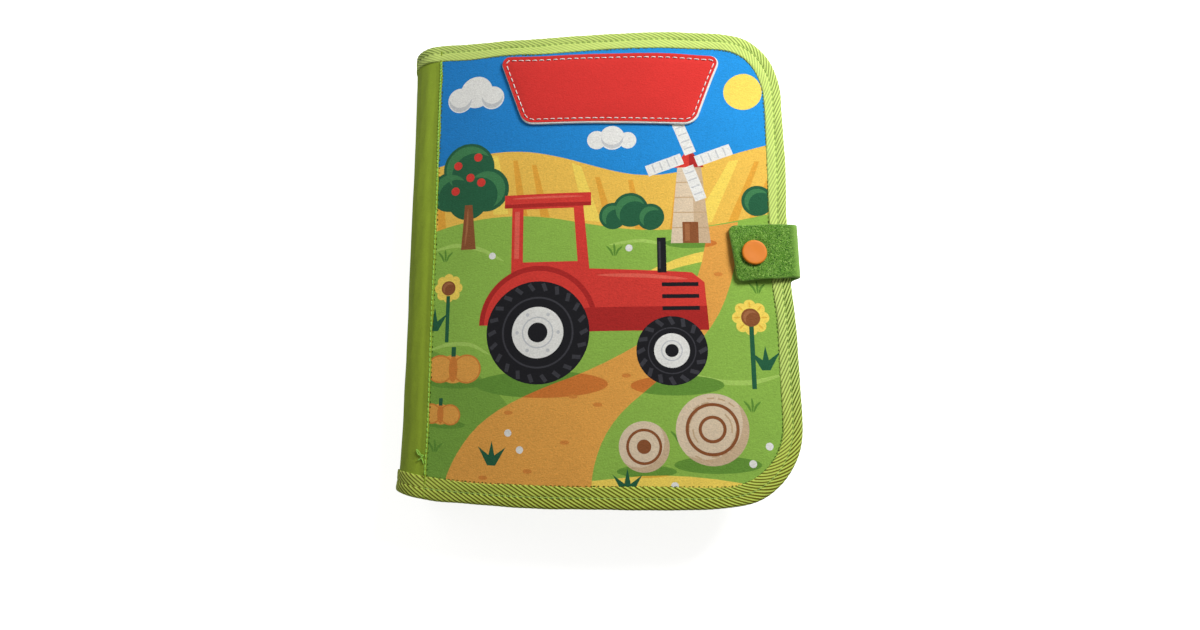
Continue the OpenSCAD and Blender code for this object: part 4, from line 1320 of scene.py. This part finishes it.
# the edge sewing's way round an edge: outwards, and up from the leaf's face
reach = np.array([(0.0, -0.3), (0.5, 0.16), (1.4, -0.05), (2.0, -0.7), (2.25, -1.4)])
for i in range(LEAVES):
    high = lambda x, y: leaf_z((i + 1) / LEAVES, x) - parting(x) * (i < LEAVES - 1) - 0.02
    low = lambda x, y: leaf_z(i / LEAVES, x) + parting(x) * (i > 0) + 0.02
    v, f = slab([dense(leaf_loop(i), 5.0)], high, low, 1.5, 9.0)
    all_v.append(v)
    all_f += [[k + count for k in face] for face in f]
    count += len(v)
    p, w = spaced(inset(leaf_loop(i), 2.2)[1:-1], 4.6, closed=False)
    for (x, y), (wx, wy) in zip(p, w):
        zt, zb = float(high(np.array(x), y)), float(low(np.array(x), y))
        upper = [(x + wy * a, y - wx * a, zt + b) for a, b in reach]
        lower = [(x + wy * a, y - wx * a, zb - b) for a, b in reach][::-1]
        edge_paths.append(upper + lower)
v = np.concatenate(all_v)
leaves = make("page_leaves", v, all_f, LEAF_LOOK, "page_block", ["page_block"], still=True)
sew("page_edge_thread", edge_paths, 0.24, WHITE_THREAD, "page_block", sides=5, still=True)

# felt shapes on the first leaf


def leaf_top(rise):
    """A height over the first leaf."""
    return lambda x, y: ARCH_Z + np.sqrt((ARCH_R + LEAF_TOP + rise) ** 2 - (x - ARCH_X) ** 2)


def around(centre, discs):
    """Outline of joined discs as seen from a centre inside them all."""
    out = []
    for a in np.linspace(0, 2 * pi, 150, endpoint=False):
        d = np.array((cos(a), sin(a)))
        far = 0.5
        for x, y, r in discs:
            q = np.array((x, y)) - centre
            along = q @ d
            over = r * r - (q @ q - along**2)
            if over > 0:
                far = max(far, along + math.sqrt(over))
        out.append(centre + d * far)
    return np.array(out)


hill_x = np.linspace(35.5, 164.5, 44)
hill_y = np.maximum(
    np.sqrt(np.maximum(60**2 - (hill_x - 75) ** 2, 0)) - 2 - HALF,
    np.sqrt(np.maximum(60**2 - (hill_x - 125) ** 2, 0)) - 12 - HALF,
)
hill_top = np.stack([hill_x, np.maximum(hill_y, 13.5 - HALF)], 1)
hill_foot = np.stack([np.linspace(35.5, 164.5, 30), np.full(30, 13.2 - HALF)], 1)
hill = np.r_[hill_foot, hill_top[::-1][1:-1]]
sun = circle(140, 180 - HALF, 20, 60)
petals = [(75 + 15 * cos(a), 135 - HALF + 15 * sin(a), 11) for a in np.radians(np.arange(90, 449, 72))]
flower = around(np.array((75.0, 135 - HALF)), petals)
stem = np.array([(72.6, 63.2), (77.4, 63.2), (77.4, 75), (80, 76), (90, 79), (98, 86), (101, 94), (93, 94),
                 (84, 90), (77.4, 82), (77.4, 112.8), (72.6, 112.8)]) - (0, HALF)
for name, loop, rgb, slot_name in (
    ("page_hill", hill, srgb(120, 178, 76), "green_felt"),
    ("page_sun", sun, srgb(248, 204, 70), "yellow_felt"),
    ("page_flower", flower, srgb(222, 84, 70), "red_felt"),
    ("page_leaf", stem, srgb(70, 128, 58), "dark_green_felt"),
):
    # the stem is narrow, so its rim and its sewing keep nearer to its edge
    rim, row = (0.35, 1.2) if name == "page_leaf" else (0.5, 2.2)
    v, f = slab([dense(loop, 2.5)], leaf_top(1.1), leaf_top(0.02), rim, 5.0, (1.2,))
    look = felt(name + "_look", rgb, scale=1.3)
    make(name + "_felt", v, f, look, "page_block", [name], still=True)
    p, w = spaced(inset(dense(loop, 1.5), row), 3.6)
    z = leaf_top(1.1)(p[:, 0], p[:, 1])
    paths = running(np.c_[p, z - 0.1], np.c_[w, np.zeros(len(w))], [UP] * len(p), 2.3, 0.2, 0.3)
    sew(name + "_thread", paths, 0.22, WHITE_THREAD, "page_block", sides=5, still=True)

# the back cover
loop = dense(cover_loop(CUT_IN), 4.0)


def padded_back(x, y):
    """Height of the back's outer face, a little uneven."""
    return 0.72 + 0.1 * sin(x / 21) * cos(y / 27)


v, f = slab([loop], lambda x, y: 2.2 + 0 * x, padded_back, 0.4, 6.0)
back_panel = make(
    "back_panel_cloth", v, f, BACK_LOOK, "back_cover", ["back_panel"], uv=v[:, :2], still=True
)
v, f = slab([loop], lambda x, y: 3.36 + 0 * x, lambda x, y: 2.22 + 0 * x, 0.4, 7.0)
back_lining = make(
    "back_lining_felt", v, f, LINING_LOOK, "back_cover", ["back_lining"], still=True
)

# stage
FLOOR_HALF, FLOOR_Z = 3, -0.0006
corners = [(x * FLOOR_HALF, y * FLOOR_HALF, FLOOR_Z) for x, y in ((-1, -1), (1, -1), (1, 1), (-1, 1))]
floor_mesh = bpy.data.meshes.new("floor")
floor_mesh.from_pydata(corners, [], [(0, 1, 2, 3)])
floor = bpy.data.objects.new("floor", floor_mesh)
bpy.context.scene.collection.objects.link(floor)
# grey paper that looks nearly white to the camera and gives no light of its own
paper = bpy.data.materials.new("paper_floor")
nodes = Nodes(paper)
rays = nodes.node("ShaderNodeLightPath").outputs
grey = nodes.out("ShaderNodeBsdfDiffuse", (0.82, 0.82, 0.82, 1))
glow = nodes.out("ShaderNodeEmission", (1, 1, 1, 1), nodes.math("MULTIPLY", rays["Is Camera Ray"], 0.8))
nodes.node("ShaderNodeOutputMaterial", nodes.out("ShaderNodeAddShader", grey, glow))
floor_mesh.materials.append(paper)

# a dim warm studio that looks white where it is seen, reflected or shone through
world = bpy.data.worlds.new("studio")
bpy.context.scene.world = world
nodes = Nodes(world)
rays = nodes.node("ShaderNodeLightPath").outputs
seen = nodes.math("MAXIMUM", rays["Is Glossy Ray"], rays["Is Transmission Ray"])
seen = nodes.math("MAXIMUM", rays["Is Camera Ray"], seen)
ambient = nodes.out("ShaderNodeBackground", (1.0, 0.98, 0.92, 1), 0.2)
white = nodes.out("ShaderNodeBackground", (1, 1, 1, 1))
nodes.node("ShaderNodeOutputWorld", nodes.out("ShaderNodeMixShader", seen, ambient, white))


def lamp(name, place, target, size, power):
    """A round lamp that faces a target."""
    data = bpy.data.lights.new(name, "AREA")
    data.shape = "DISK"
    data.size = size
    data.energy = power
    obj = bpy.data.objects.new(name, data)
    obj.location = place
    obj.rotation_euler = (Vector(place) - Vector(target)).to_track_quat("Z", "Y").to_euler()
    bpy.context.scene.collection.objects.link(obj)


lamp("key", (0.32, 0.28, 0.37), (0.05, 0.03, 0.03), 0.24, 2.86)
lamp("fill", (-0.5, 0.3, 0.42), (-0.05, 0, 0.02), 0.5, 0.55)

# the photograph's camera, from the fit to its outline
camera = bpy.data.objects.new("camera", bpy.data.cameras.new("camera"))
camera.data.lens = 19.116
camera.data.sensor_width = 36
camera.data.clip_start = 0.01
camera.location = (0.02931, -0.08273, 0.3472)
camera.rotation_euler = (0.1681, 0.0852, -0.0046)
bpy.context.scene.collection.objects.link(camera)
bpy.context.scene.camera = camera
bpy.context.scene.view_settings.view_transform = "Standard"
